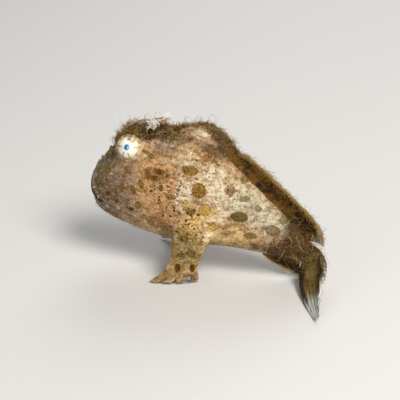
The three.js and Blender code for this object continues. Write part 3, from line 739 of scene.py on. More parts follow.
FIN_GRIDS = {"dorsal": fin_grid(dorsal_place), "anal": fin_grid(anal_place), "tail": fin_grid(tail_place)}
FIN_RAYS = {"dorsal": 12, "anal": 7, "tail": 9}


def fin_marks(places, fin):
    """Where each place lies on a fin, and how far off its sheet it is."""
    tree, grid = FIN_GRIDS[fin]
    found = [tree.find(place) for place in places]
    along, reach = np.array([grid[k] for _, k, _ in found]).T
    ray = 0.5 - 0.5 * np.cos(2 * np.pi * along * FIN_RAYS[fin])
    marks = {"along": along, "reach": reach, "ray": ray, "tail": np.full(len(along), float(fin == "tail"))}
    return marks, np.array([away for _, _, away in found])


class Sum:
    """A value that varies over a surface. Sums written with it add the nodes that work it out."""

    def __init__(self, finish, socket):
        self.finish = finish
        self.socket = socket

    def maths(self, operation, *values):
        return self.finish.node("Math", {"operation": operation}, dict(enumerate(values)))

    def __add__(self, other):
        return self.maths("ADD", self, other)

    __radd__ = __add__

    def __sub__(self, other):
        return self.maths("SUBTRACT", self, other)

    def __rsub__(self, other):
        return self.maths("SUBTRACT", other, self)

    def __mul__(self, other):
        return self.maths("MULTIPLY", self, other)

    __rmul__ = __mul__

    def __pow__(self, other):
        return self.maths("POWER", self, other)

    def above(self, low, high):
        """0 up to low, 1 from high on, and smooth between."""
        return self.finish.node(
            "MapRange", {"interpolation_type": "SMOOTHSTEP"},
            {"Value": self, "From Min": low, "From Max": high},
        )


class Finish:
    """A material, and the nodes that give it its colour and grain."""

    def __init__(self, name):
        self.material = bpy.data.materials.new(name)
        self.material.use_nodes = True
        self.tree = self.material.node_tree
        self.tree.nodes.clear()
        coords = self.node("TexCoord", {}, {}, "Object")
        self.place = self.node("VectorMath", {"operation": "SCALE"}, {0: coords, "Scale": 1 / MM})

    def node(self, kind, settings, values, output=0):
        """One node: its settings first, then the values or links of its sockets."""
        made = self.tree.nodes.new("ShaderNode" + kind)
        for key, value in settings.items():
            setattr(made, key, value)
        for key, value in values.items():
            if isinstance(value, Sum):
                self.tree.links.new(value.socket, made.inputs[key])
            else:
                made.inputs[key].default_value = value
        return Sum(self, made.outputs[output]) if made.outputs else None

    def mark(self, name):
        """A marking that the mesh holds."""
        return self.node("Attribute", {"attribute_name": name}, {}, "Fac")

    def grain(self, per_mm, detail=3, stretch=(1, 1, 1)):
        stretched = self.node("VectorMath", {"operation": "MULTIPLY"}, {0: self.place, 1: stretch})
        return self.node("TexNoise", {}, {"Vector": stretched, "Scale": per_mm, "Detail": detail}, "Fac")

    def cells(self, per_mm, feature="F1", crooked=0):
        """How far each place is from its cell's middle, or from its edge. Crooked cells have wavy edges."""
        place = self.place
        if crooked:
            noisy = self.node("TexNoise", {}, {"Vector": place, "Scale": per_mm * 1.7, "Detail": 2}, "Color")
            bent = self.node("VectorMath", {"operation": "SCALE"}, {0: noisy, "Scale": crooked / per_mm})
            place = self.node("VectorMath", {"operation": "ADD"}, {0: place, 1: bent})
        return self.node("TexVoronoi", {"feature": feature}, {"Vector": place, "Scale": per_mm}, "Distance")

    def blend(self, under, over, share):
        return self.node("Mix", {"data_type": "RGBA"}, {0: share, 6: under, 7: over}, 2)

    def painted(self, colour, *coats):
        """A colour under several coats, each a tint and where it lies."""
        for tint, share in coats:
            colour = self.blend(colour, tint, share)
        return colour

    def shaded(self, colour, tint, share):
        """The colour, dulled by a tint where share is high."""
        options = {"data_type": "RGBA", "blend_type": "MULTIPLY"}
        return self.node("Mix", options, {0: share, 6: colour, 7: tint}, 2)

    def surface(self, colour, roughness, height, depth, **fixed):
        """The shader itself. Fixed values are those that are the same all over."""
        normal = self.node("Bump", {}, {"Height": height, "Distance": depth * MM, "Strength": 1})
        values = {"Base Color": colour, "Roughness": roughness, "Normal": normal}
        values.update({key.replace("_", " "): value for key, value in fixed.items()})
        shader = self.node("BsdfPrincipled", {}, values)
        self.node("OutputMaterial", {}, {"Surface": shader})
        return self.material


def rgb(red, green, blue):
    return (red, green, blue, 1)


# Fin colour, also where the skin runs out on to the fins: brown patches over orange-brown on the back, with
# a tan margin and whitish ends at the rear. The tail is a thin tan paddle with white ray tips and one white
# edge.
def fin_tints(finish):
    reach, ray, along = finish.mark("reach"), finish.mark("ray"), finish.mark("along")
    patchy = finish.grain(0.3, 3)
    fine = finish.grain(2.6, 3)
    blotch = patchy + (finish.grain(1.2, 4) - 0.5) * 0.35
    front = 1 - along.above(0.3, 0.55)
    ray_tint = finish.blend(rgb(0.10, 0.055, 0.01), rgb(0.24, 0.155, 0.05), fine.above(0.35, 0.65))
    margin = (reach + (fine - 0.5) * 0.25).above(0.8, 0.93) * along.above(0.02, 0.12)
    brown_fin = finish.painted(
        rgb(0.022, 0.008, 0.001),
        (rgb(0.075, 0.032, 0.002), blotch.above(0.40, 0.54)),
        (rgb(0.13, 0.065, 0.008), blotch.above(0.56, 0.66)),
        (rgb(0.15, 0.06, 0.004), front * blotch.above(0.36, 0.6) * 0.75),
        (ray_tint, ray.above(0.6, 0.98) * 0.22),
        (rgb(0.03, 0.012, 0.002), (1 - finish.cells(0.8).above(0.12, 0.26)) * 0.7),
        (rgb(0.46, 0.29, 0.085), margin * 0.9),
        (rgb(0.45, 0.41, 0.30), margin * along.above(0.72, 0.9) * 0.75),
    )
    tips = (reach + (fine - 0.5) * 0.2).above(0.60, 0.80) * (ray.above(0.15, 0.7) * 0.6 + 0.4)
    edge = (1 - along.above(0.0, 0.045)) * reach.above(0.3, 0.5) * fine.above(0.3, 0.6)
    paddle = finish.painted(
        rgb(0.075, 0.046, 0.010),
        (rgb(0.165, 0.112, 0.036), patchy.above(0.38, 0.6)),
        (rgb(0.035, 0.018, 0.004), (1 - finish.cells(0.7).above(0.14, 0.3)) * 0.7),
        (rgb(0.26, 0.20, 0.10), ray.above(0.6, 1.0) * 0.25),
        (rgb(0.72, 0.73, 0.70), tips * 0.9),
        (rgb(0.72, 0.73, 0.70), edge * 0.85),
    )
    return finish.blend(brown_fin, paddle, finish.mark("tail"))


# Skin colour: pale pinkish cream, mottled and finely grained, with a mauve face, greyer lips and chin, an
# orange-brown cheek, a yellow belly, a cooler rear flank and dark specks. The grey at the front of the face
# and on the chin is partly painted shade, and painted shade darkens the mouth's slit and the hands between
# their rays. Spots are olive, yellow, amber or brown, with a darker, uneven edge.
LAYERS = (
    ("pink", rgb(0.60, 0.41, 0.30)),
    ("tan", rgb(0.40, 0.25, 0.12)),
    ("mauve", rgb(0.36, 0.23, 0.14)),
    ("grey", rgb(0.09, 0.067, 0.043)),
    ("blush", rgb(0.70, 0.41, 0.165)),
    ("white", rgb(0.86, 0.71, 0.49)),
    ("yellow", rgb(0.90, 0.65, 0.24)),
    ("olive", rgb(0.22, 0.15, 0.035)),
    ("brown", rgb(0.06, 0.026, 0.002)),
)


def skin_colour(finish):
    wobble = finish.grain(0.8, 4) - 0.5
    fine = finish.grain(3.4, 4)
    cloud = finish.grain(0.28, 4)
    streak = finish.grain(0.9, 5, (0.65, 1, 1.3))
    pores = finish.cells(2.6).above(0.1, 0.5)
    colour = finish.blend(rgb(0.40, 0.26, 0.125), rgb(0.56, 0.39, 0.20), cloud.above(0.35, 0.65))
    for patch, tint in LAYERS:
        colour = finish.blend(colour, tint, (finish.mark(patch) + wobble * 1.1).above(0.0, 1.0) * 0.9)
    bright = (1 - finish.mark("grey") * 0.6) * (1 - finish.mark("brown") * 0.9)
    colour = finish.shaded(colour, rgb(0.50, 0.34, 0.19), streak.above(0.49, 0.62) * 0.7)
    colour = finish.shaded(colour, rgb(0.66, 0.50, 0.34), finish.grain(1.3, 3).above(0.50, 0.60) * 0.6)
    net = 1 - finish.cells(0.85, "DISTANCE_TO_EDGE", 0.5).above(0.02, 0.10)
    colour = finish.shaded(colour, rgb(0.62, 0.44, 0.26), net * 0.6)
    flecks = finish.grain(1.6, 5, (0.7, 1, 1.1)).above(0.53, 0.64)
    fleck_share = flecks * bright * (0.10 + finish.mark("white") * 0.6)
    colour = finish.blend(colour, rgb(0.90, 0.80, 0.62), fleck_share)
    colour = finish.shaded(colour, rgb(0.42, 0.30, 0.20), (1 - pores) * fine.above(0.36, 0.54) * 0.8)
    colour = finish.blend(colour, rgb(0.94, 0.84, 0.68), pores * fine.above(0.55, 0.68) * bright * 0.35)
    pale_streak = finish.grain(0.7, 4, (0.5, 1, 1.5)).above(0.52, 0.62) * bright
    colour = finish.blend(colour, rgb(0.92, 0.79, 0.58), pale_streak * (0.1 + finish.mark("white") * 0.55))
    colour = finish.shaded(colour, rgb(0.80, 0.94, 1.0), finish.mark("cool"))
    field = finish.mark("spot")
    ragged = field + wobble * 0.5 + (fine - 0.5) * 0.5

    def spotted(dim, bright):
        return finish.blend(rgb(*dim), rgb(*bright), fine.above(0.36, 0.62))
    warm = finish.mark("dark") * (0.5 + field.above(0.1, 0.45) * 0.5)
    cold = finish.mark("dark") * -1
    olive = finish.shaded(spotted((0.11, 0.065, 0.006), (0.32, 0.20, 0.03)), rgb(0.30, 0.30, 0.36), cold)
    inside = finish.painted(
        olive,
        (spotted((0.30, 0.17, 0.02), (0.64, 0.41, 0.07)), cold.above(-0.6 * YELLOW_KIND, -0.8 * YELLOW_KIND)),
        (spotted((0.12, 0.045, 0.003), (0.42, 0.20, 0.025)), warm.above(0.1, 0.5)),
        (spotted((0.03, 0.01, 0.001), (0.15, 0.055, 0.004)), warm.above(0.45, 1.0)),
    )
    inside = finish.shaded(inside, rgb(0.4, 0.3, 0.2), (1 - pores) * 0.7)
    rim = ragged.above(-0.1, 0.02) * (1 - ragged.above(0.08, 0.22))
    inside = finish.shaded(inside, rgb(0.4, 0.32, 0.2), rim * 0.7)
    mottled = fine.above(0.4, 0.6) * 0.4
    colour = finish.painted(
        colour,
        (inside, ragged.above(-0.1, 0.1) * finish.mark("plain") * 0.96),
        # Painted shade between the rays of the hands.
        (rgb(0.04, 0.024, 0.008), finish.mark("gap") * 0.85),
        (rgb(0.44, 0.31, 0.19), finish.mark("lip") * (0.2 + mottled)),
    )
    # Painted shade in the slit of the shut mouth.
    colour = finish.shaded(colour, rgb(0.08, 0.045, 0.035), finish.mark("slit"))
    speck = 1 - finish.cells(1.25).above(0.15, 0.28)
    chosen = (finish.grain(0.55, 2) + finish.mark("specked") * 0.55).above(0.62, 0.76)
    small_speck = 1 - finish.cells(2.2).above(0.12, 0.24)
    few = (finish.grain(0.7, 2, (1, 1, 1.1)) + finish.mark("specked") * 0.4).above(0.54, 0.66)
    return finish.painted(
        colour,
        (rgb(0.52, 0.45, 0.30), finish.mark("toe") * (0.25 + mottled)),
        (rgb(0.05, 0.012, 0.003), speck * chosen * 0.94),
        (rgb(0.09, 0.025, 0.005), small_speck * few * 0.85),
        (fin_tints(finish), (finish.mark("finned") + wobble * 0.3).above(0.3, 0.7)),
    )


skin_finish = Finish("skin")
papillae = skin_finish.cells(1.7)
velvet = skin_finish.grain(5.5, 3)
pleats = skin_finish.grain(1.3, 2, (0.4, 1, 1.8))
SKIN = skin_finish.surface(
    skin_colour(skin_finish), 0.5 + velvet * 0.25, velvet * 0.5 + (1 - papillae) * 0.5 + pleats * 0.6, 0.16,
    Subsurface_Weight=0.1, Subsurface_Radius=(1.0, 0.5, 0.3), Subsurface_Scale=0.3 * MM,
    Specular_IOR_Level=0.15,
)


def set_down(name, mesh, places, material, marks, slot, nodes):
    """Makes a mesh a piece of the fish, with its places, marks, finish and the solids that it stands for."""
    mesh.vertices.foreach_set("co", (places * MM + np.array(layout_zero)).astype(np.float32).ravel())
    for mark, values in marks.items():
        layer = mesh.attributes.new(mark, "FLOAT", "POINT")
        layer.data.foreach_set("value", np.asarray(values, np.float32))
    mesh.polygons.foreach_set("use_smooth", [True] * len(mesh.polygons))
    mesh.update()
    mesh.materials.append(material)
    piece = bpy.data.objects.new(name, mesh)
    bpy.context.collection.objects.link(piece)
    if nodes:
        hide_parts(*nodes)
    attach(piece, "root")


def finished(name, form, material, marks, slot, *nodes):
    """Sets a form down as a piece, where it lies in the layout."""
    mesh = bpy.data.meshes.new(name)
    form.to_mesh(mesh)
    places = np.empty(len(mesh.vertices) * 3, np.float32)
    mesh.vertices.foreach_get("co", places)
    set_down(name, mesh, places.reshape(-1, 3), material, marks, slot, nodes)


def rising(values, start, over):
    """0 up to a start, then rising to 1 over a stretch."""
    return np.clip((values - start) / over, 0, 1)


def falling(values, end, over):
    """0 from an end on, and 1 from a stretch before it back."""
    return np.clip((end - values) / over, 0, 1)


skin_x, _, skin_z = skin_places.T
skin_marks = markings(skin_places)
off_slit = near_line(skin_places, slit_line)
# The slit mark paints shade into the mouth's crease.
skin_marks["slit"] = bell(off_slit, 0.5)
skin_marks["lip"] = bell(off_slit - 0.95, 0.4)
# Between their rays the hands are darkened with painted shade, and the hands and feet have pale ends.
finger_lines = [finger(flank, f) for flank in FLANKS for f in HAND_RAYS]
off_rays = np.min([near_line(skin_places, line, 14) for line in finger_lines], axis=0)
skin_marks["gap"] = rising(off_rays, 0.42, 0.35) * falling(skin_z, 3.4, 1.2) * falling(off_rays, 2.4, 0.6)
skin_marks["toe"] = falling(skin_z, 1.3, 1.0)
finned = np.zeros(len(skin_places))
for fin in FIN_GRIDS:
    found_marks, off_sheet = fin_marks(skin_places, fin)
    share = rising(found_marks["reach"], 0 if fin == "tail" else 0.14, 0.12) * falling(off_sheet, 1.7, 0.4)
    for mark, values in found_marks.items():
        skin_marks[mark] = np.where(share > finned, values, skin_marks.get(mark, 0))
    finned = np.maximum(finned, share)
skin_marks["finned"] = finned
finished(
    "skin_whole", skin_form, SKIN, skin_marks, "skin", "head", "torso", "tail_stem", "nape_spine",
    "arm_left", "arm_right", "hand_left", "hand_right", "pelvic_fin_left", "pelvic_fin_right",
)

# Eyes: low wet domes. The iris is white and runs to the rim, crossed by thin yellow rays like spokes, and
# the small pupil is deep blue with a painted cyan glint. The eye looks out to the side and a little ahead.
EYE_RADIUS = 2.35
EYE_LOOK = Vector((0.06, -0.91, 0.40)).normalized()
eye_finish = Finish("iris")
out_x, out_y = eye_finish.mark("ahead"), eye_finish.mark("above")
away = (out_x * out_x + out_y * out_y) ** 0.5
bearing = out_y.maths("ARCTAN2", out_y, out_x)
iris = eye_finish.blend(rgb(0.93, 0.90, 0.80), rgb(0.80, 0.70, 0.52), away.above(0.55, 1.0))
# Each spoke: its bearing in degrees (0 ahead, 90 up), half width, where it starts, and its colour.
SPOKES = (
    (2, 0.16, 0.42, rgb(0.30, 0.25, 0.05)),
    (176, 0.13, 0.46, rgb(0.55, 0.42, 0.05)),
    (-62, 0.13, 0.40, rgb(0.42, 0.33, 0.05)),
    (-104, 0.12, 0.40, rgb(0.42, 0.33, 0.05)),
    (96, 0.30, 0.52, rgb(0.16, 0.06, 0.02)),
    (126, 0.22, 0.40, rgb(0.62, 0.33, 0.04)),
)
for degrees, half, start, tint in SPOKES:
    turn = math.radians(degrees)
    along = out_x * math.cos(turn) + out_y * math.sin(turn)
    aside = out_x * -math.sin(turn) + out_y * math.cos(turn)
    gap = aside.maths("ABSOLUTE", aside) + (eye_finish.grain(2.4, 2) - 0.5) * 0.1
    spoke = (1 - gap.above(half * 0.3, half * 0.75)) * along.above(start, start + 0.12)
    iris = eye_finish.blend(iris, tint, spoke * 0.85)
ring = eye_finish.blend(rgb(0.10, 0.45, 0.62), rgb(0.004, 0.05, 0.22), away.above(0.27, 0.10))
# A painted glint: a small pale cyan spot just off the middle of the pupil.
painted_glint = (1 - ((out_x + 0.12) * (out_x + 0.12) + (out_y + 0.02) * (out_y + 0.02)).above(0.004, 0.022))
ring = eye_finish.blend(ring, rgb(0.30, 0.75, 0.85), painted_glint * 0.9)
eye_colour = eye_finish.blend(iris, ring, 1 - away.above(0.24, 0.28))
IRIS = eye_finish.surface(
    eye_colour, 0.12, eye_finish.grain(3, 2), 0.01, Coat_Weight=1.0, Coat_Roughness=0.03,
    Subsurface_Weight=0.25, Subsurface_Radius=(0.6, 0.5, 0.4), Subsurface_Scale=0.5 * MM,
)
for flank, side in ((LEFT, "left"), (RIGHT, "right")):
    look = EYE_LOOK * mirror(flank)
    eye_form = bmesh.new()
    bmesh.ops.create_uvsphere(eye_form, u_segments=64, v_segments=40, radius=EYE_RADIUS)
    ahead = Vector((-1, 0, 0))
    ahead = (ahead - look * ahead.dot(look)).normalized()
    above = look.cross(ahead) * (1 if look.cross(ahead).z > 0 else -1)
    marks = {"ahead": [], "above": []}
    for vert in eye_form.verts:
        depth = vert.co.normalized().dot(look)
        cornea = 0.12 * max(0, (depth - 0.86) / 0.14) ** 1.5
        vert.co += vert.co.normalized() * cornea
        marks["ahead"].append(vert.co.dot(ahead) / EYE_RADIUS if depth > 0 else 1)
        marks["above"].append(vert.co.dot(above) / EYE_RADIUS)
        vert.co += eye_middle(flank)
    finished(f"eye_ball_{side}", eye_form, IRIS, marks, "iris", f"eye_{side}")

# Fins: thin membranes over soft rays that stand out as faint ridges, with an uneven margin. Those of the
# back and the belly lie back along the body, and the tail is curled round to the fish's left.
fin_finish = Finish("fin")
fin_fine = fin_finish.grain(2.6, 3)
FIN = fin_finish.surface(
    fin_tints(fin_finish), 0.46 + fin_fine * 0.2, fin_fine + fin_finish.grain(6, 2) * 0.4, 0.08,
    Subsurface_Weight=0.12, Subsurface_Radius=(1.2, 0.7, 0.3), Subsurface_Scale=0.4 * MM,
    Specular_IOR_Level=0.1,
)


def fin_piece(name, fin, place, slot, root, edge, ridge, notch, rings, sides):
    """A rayed fin, thinner towards its margin, which is cut back a little between its rays."""
    rays = FIN_RAYS[fin]

    def proud(u):
        return 0.5 - 0.5 * math.cos(2 * math.pi * u * rays)

    def notched(u, v):
        frayed = 0.03 * math.sin(u * 61) * math.sin(u * 23)
        return place(u, v * (1 - notch * (1 - proud(u)) + frayed))

    def thick(u, v):
        return mix(root, edge, v ** 0.6) + ridge * proud(u) ** 2 * v * (1.3 - v)
    form = vane(rings, sides, notched, thick)
    for vert in form.verts:
        vert.co.z = max(vert.co.z, FLOOR_GAP)
    marks, _ = fin_marks([vert.co for vert in form.verts], fin)
    finished(name, form, FIN, marks, slot, fin + "_fin")


fin_piece("dorsal_fin_skin", "dorsal", dorsal_place, "fin", 1.0, 0.16, 0.22, 0.04, 144, 48)
fin_piece("anal_fin_skin", "anal", anal_place, "fin", 0.9, 0.18, 0.14, 0.03, 84, 32)
fin_piece("tail_fin_skin", "tail", tail_place, "clear_fin", 0.8, 0.2, 0.3, 0.08, 108, 60)

# Filaments: the skin grows soft, curled threads. They are brown and thick on the crest, the ridge of the
# hump and the tail stem, tan and fine on the hump and along the fins, and short and pale on the chin and the
# flanks.
FILAMENT_STEPS = 7
ROOT_DEPTH = 0.25
THREAD_GAP = 0.03
UNWRAPPED_SIZE = 0.003


def filament_shape():
    """One plain filament, and where each of its points lies along it and round it."""
    form = bmesh.new()
    bmesh.ops.create_cone(form, segments=3, radius1=1, radius2=1, depth=1, cap_ends=True)
    sides = [edge for edge in form.edges if abs(edge.verts[0].co.z - edge.verts[1].co.z) > 0.5]
    bmesh.ops.subdivide_edges(form, edges=sides, cuts=FILAMENT_STEPS - 1)
    form.verts.index_update()
    steps = np.array([round((vert.co.z + 0.5) * FILAMENT_STEPS) for vert in form.verts])
    turns = np.array([math.atan2(vert.co.y, vert.co.x) for vert in form.verts])
    return form, steps, turns


def sown(name, form, count):
    """A mesh that holds one small form many times over."""
    mesh = bpy.data.meshes.new(name)
    form.to_mesh(mesh)
    many = bmesh.new()
    for _ in range(count):
        many.from_mesh(mesh)
    many.to_mesh(mesh)
    return mesh


def unit(vectors):
    return vectors / np.maximum(np.linalg.norm(vectors, axis=-1, keepdims=True), 1e-9)


def filaments(name, material, slot, roots, ups, lies, sizes, tangle, unwrap, seed, nodes=()):
    """A coat of filaments. Each rises from its root along its up, then bends over along its lie and curls.
    sizes holds their lengths, their thicknesses, how far they curl in radians, and their tones."""
    rng = np.random.default_rng(seed)
    count = len(roots)
    lengths, thick, curls, tones = sizes
    form, steps, turns = filament_shape()
    axis = unit(np.cross(ups, lies) + rng.normal(0, tangle, (count, 3)))
    heading = unit(ups + rng.normal(0, tangle * 0.5, (count, 3)))
    where = roots - unit(ups) * ROOT_DEPTH
    centres, sides_a, sides_b = [], [], []
    for _ in range(FILAMENT_STEPS + 1):
        side = unit(np.cross(heading, axis + 1e-3))
        centres.append(where.copy())
        sides_a.append(side)
        sides_b.append(np.cross(heading, side))
        where = where + heading * (lengths / FILAMENT_STEPS)[:, None]
        turn = (curls / FILAMENT_STEPS)[:, None]
        heading = unit(heading * np.cos(turn) + np.cross(axis, heading) * np.sin(turn))
        axis = unit(axis + rng.normal(0, tangle * 0.4, (count, 3)))
    shares = steps / FILAMENT_STEPS
    radius = thick[:, None] * np.clip(1 - shares ** 1.7 * 0.92, 0.06, 1)[None, :]
    points = np.stack(centres, 1)[:, steps]
    points = points + radius[..., None] * (
        np.stack(sides_a, 1)[:, steps] * np.cos(turns)[None, :, None]
        + np.stack(sides_b, 1)[:, steps] * np.sin(turns)[None, :, None]
    )
    points[..., 2] = np.maximum(points[..., 2], THREAD_GAP)
    mesh = sown(name, form, count)
    spread = np.stack([turns / (2 * np.pi), shares - 0.5], 1) * UNWRAPPED_SIZE
    spots = (unwrap[:, None, :] + spread[None]).reshape(-1, 2)
    loops = np.empty(len(mesh.loops), np.int32)
    mesh.loops.foreach_get("vertex_index", loops)
    mesh.uv_layers.new(name="OFBake").data.foreach_set("uv", spots[loops].astype(np.float32).ravel())
    marks = {"tone": np.repeat(tones, len(steps)), "tip": np.tile(shares, count)}
    set_down(name, mesh, points, material, marks, slot, nodes)


def body_unwrap(places):
    """The flesh slit along its belly and laid flat: share of its length, and share of the way round it."""
    shares = np.linspace(0, 1, 200)
    stations = np.array([body_line(t) for t in shares])
    along = np.interp(places[:, 0], stations[:, 0], shares)
    middle = np.interp(places[:, 0], stations[:, 0], (stations[:, 1] + stations[:, 2]) / 2)
    round_it = np.arctan2(places[:, 1], places[:, 2] - middle) / (2 * np.pi) + 0.5
    return np.stack([mix(0.01, 0.99, along), mix(0.01, 0.99, round_it)], 1)


# Threads differ in tone from one to the next, between two tints, and pale towards their tips.
def thread_finish(name, dark_tint, light_tint, tip_tint, paling):
    finish = Finish(name)
    tone = finish.mark("tone")
    to_tip = (finish.mark("tip") + (tone - 0.5) * 0.6).above(0.2, 1.0)
    colour = finish.painted(rgb(*dark_tint), (rgb(*light_tint), tone), (rgb(*tip_tint), to_tip * paling))
    return finish.surface(
        colour, 0.5 + finish.grain(4, 2) * 0.2, finish.grain(5, 2), 0.03,
        Subsurface_Weight=0.1, Subsurface_Radius=(0.6, 0.4, 0.2), Subsurface_Scale=0.2 * MM,
        Specular_IOR_Level=0.1,
    )


BROWN = thread_finish("brown_thread", (0.02, 0.009, 0.001), (0.13, 0.065, 0.011), (0.38, 0.225, 0.075), 0.75)
TAN = thread_finish("tan_thread", (0.12, 0.062, 0.01), (0.42, 0.27, 0.08), (0.60, 0.45, 0.20), 0.55)
PALE = thread_finish("pale_thread", (0.24, 0.18, 0.11), (0.50, 0.41, 0.28), (0.74, 0.68, 0.56), 0.6)
WHITE = thread_finish("white_thread", (0.66, 0.60, 0.42), (0.88, 0.87, 0.82), (0.95, 0.96, 0.95), 0.6)


def drawn_sizes(rng, count, lengths, thick, curls):
    """Random sizes for filaments, each between a least and a most, and their tones."""
    return [rng.uniform(*span, count) for span in (lengths, thick, curls, (0, 1))]


def grown_on_skin(name, material, slot, where, count, lengths, thick, curls, lie, tangle, lift, seed, *nodes):
    """Filaments on the skin, more of them where the number for a place is high, leaning along lie."""
    rng = np.random.default_rng(seed)
    weight = where + 1e-9
    chosen = rng.choice(len(skin_places), size=count, replace=True, p=weight / weight.sum())
    roots = skin_places[chosen] + rng.normal(0, 0.05, (count, 3))
    normals = skin_normals[chosen]
    lies = np.tile(np.array(lie, float), (count, 1)) + rng.normal(0, 0.35, (count, 3))
    lies = unit(lies - normals * (lies * normals).sum(1, keepdims=True))
    ups = unit(normals * lift + lies * rng.uniform(0.1, 0.9, (count, 1)))
    sizes = drawn_sizes(rng, count, lengths, thick, curls)
    filaments(name, material, slot, roots, ups, lies, sizes, tangle, body_unwrap(roots), seed, nodes)


def between(low_x, high_x, low_z, high_z, over=1.0):
    """1 where the skin lies between two places along the body and two heights, and 0 outside."""
    share = rising(skin_x, low_x, over) * falling(skin_x, high_x, over)
    return share * (rising(skin_z, low_z, over) * falling(skin_z, high_z, over))


def over_back(line, rise):
    """0 up to a line of (x, height) stops along the body, and 1 a stretch above it."""
    stops_x, stops_z = zip(*line)
    return rising(skin_z, np.interp(skin_x, stops_x, stops_z), rise)


off_eyes = [np.linalg.norm(skin_places - np.array(eye_middle(flank)), axis=1) for flank in FLANKS]
eye_gap = np.min(off_eyes, axis=0)
crest_foot = (
    (-19.5, 25.4), (-17.2, 26.2), (-15.4, 26.9), (-13.0, 27.4), (-10.2, 27.8), (-7.8, 27.9), (-5, 28.4),
)
on_crest = over_back(crest_foot, 1.2) * between(-19.2, -5.5, 20, 40) * (eye_gap > 2.7)
on_brow = on_crest * falling(skin_x, -10, 2)
hump_foot = ((-7, 26.4), (-4, 26.4), (0, 25.8), (3, 23.6), (6, 21.0))
on_hump = over_back(hump_foot, 4.0) * between(-7.0, 6.5, 18, 40)
ridge_foot = ((-8, 29.0), (-4, 30.5), (0, 30.2), (3, 27.8), (6, 24.8), (8, 22))
on_ridge = over_back(ridge_foot, 0.6) * between(-8.5, 7.5, 18, 40)
on_chin = falling(skin_x, -20.5, 2.5) + falling(skin_z, 13, 3) * falling(skin_x, -12, 6)
on_chin *= (skin_z < 24) * (off_slit > 1.0)
on_stem = between(14.0, 25.0, 2, 17, 2.5)
on_all = np.clip((skin_z - 6) / 2, 0.1, 1) * (eye_gap > 2.5)
# Each coat: name, thread and slot, where it grows and how many, least and most length, thickness and curl,
# which way it leans, how tangled it is, how far it lifts, its seed, and the node that it stands for.
COATS = (
    ("crest_coat", BROWN, "hairy_skin", on_crest, 1900,
     (0.5, 2.2), (0.035, 0.09), (0.5, 6.0), (0.3, 0, 0.6), 0.9, 1.0, 5, "crest_spine"),
    ("crest_wisps", TAN, "hairy_skin", on_crest, 520,
     (1.2, 3.4), (0.03, 0.06), (2.0, 7.0), (0.2, 0, 0.6), 1.0, 1.0, 25),
    ("crest_curls", PALE, "hairy_skin", on_crest, 130,
     (1.4, 3.2), (0.02, 0.04), (3.0, 8.0), (0.2, 0, 0.6), 1.1, 1.3, 34),
    ("brow_wisps", BROWN, "hairy_skin", on_brow, 260,
     (1.5, 3.4), (0.03, 0.06), (3.0, 8.0), (0.0, 0, 0.9), 1.0, 1.6, 27),
    ("hump_coat", TAN, "hairy_skin", on_hump, 1000,
     (0.4, 1.3), (0.02, 0.05), (1.0, 4.5), (1, 0, 0.1), 0.8, 1.0, 6),
    ("ridge_coat", BROWN, "hairy_skin", on_ridge, 620,
     (0.7, 2.2), (0.03, 0.06), (1.5, 6.0), (1, 0, 0.3), 1.0, 1.3, 26),
    ("ridge_wisps", TAN, "hairy_skin", on_ridge * (skin_z > 27), 300,
     (1.2, 3.0), (0.025, 0.05), (2.5, 7.5), (1, 0, 0.5), 1.1, 1.4, 28),
    ("chin_coat", PALE, "skin", on_chin, 1000,
     (0.3, 1.0), (0.02, 0.045), (-0.4, 3.0), (-0.3, 0, -0.8), 0.6, 1.4, 7),
    ("stem_coat", BROWN, "hairy_skin", on_stem, 520,
     (0.7, 2.2), (0.025, 0.06), (1.5, 6.0), (0.6, 0, -0.4), 0.9, 1.0, 8),
    ("stem_wisps", TAN, "hairy_skin", on_stem, 200,
     (0.9, 2.8), (0.025, 0.045), (1.5, 7.0), (0.6, 0, -0.4), 1.0, 1.2, 29),
    ("body_coat", PALE, "skin", on_all, 900,
     (0.2, 0.5), (0.012, 0.025), (0.2, 2.5), (1, 0, -0.3), 0.7, 0.9, 9),
)
for coat in COATS:
    grown_on_skin(*coat)


def along_fin(name, material, slot, count, place, lengths, thick, curls, span, reaches, outward_share, seed):
    """Filaments on a fin's faces and margin, leaning back. span and reaches say on which part they grow."""
    rng = np.random.default_rng(seed)
    us = rng.uniform(*span, count)
    vs = rng.uniform(*reaches, count)
    side = rng.choice([-1, 1], count)
    roots, ups, lies = [], [], []
    for u, v, flank in zip(us, vs, side):
        near, far = place(max(0, u - 0.02), v), place(min(1, u + 0.02), v)
        lie = (far - near).normalized()
        out = (place(u, v) - place(u, v - 0.05)).normalized()
        aside = lie.cross(out).normalized() * float(flank)
        roots.append(place(u, v) + aside * 0.05)
        ups.append(out * outward_share + aside * (1 - outward_share) + lie * 0.3)
        lies.append(lie)
    unwrap = np.stack([us, 0.5 + side * (0.02 + 0.46 * vs)], 1)
    sizes = drawn_sizes(rng, count, lengths, thick, curls)
    roots, ups, lies = np.array(roots), unit(np.array(ups)), np.array(lies)
    filaments(name, material, slot, roots, ups, lies, sizes, 0.6, unwrap, seed)


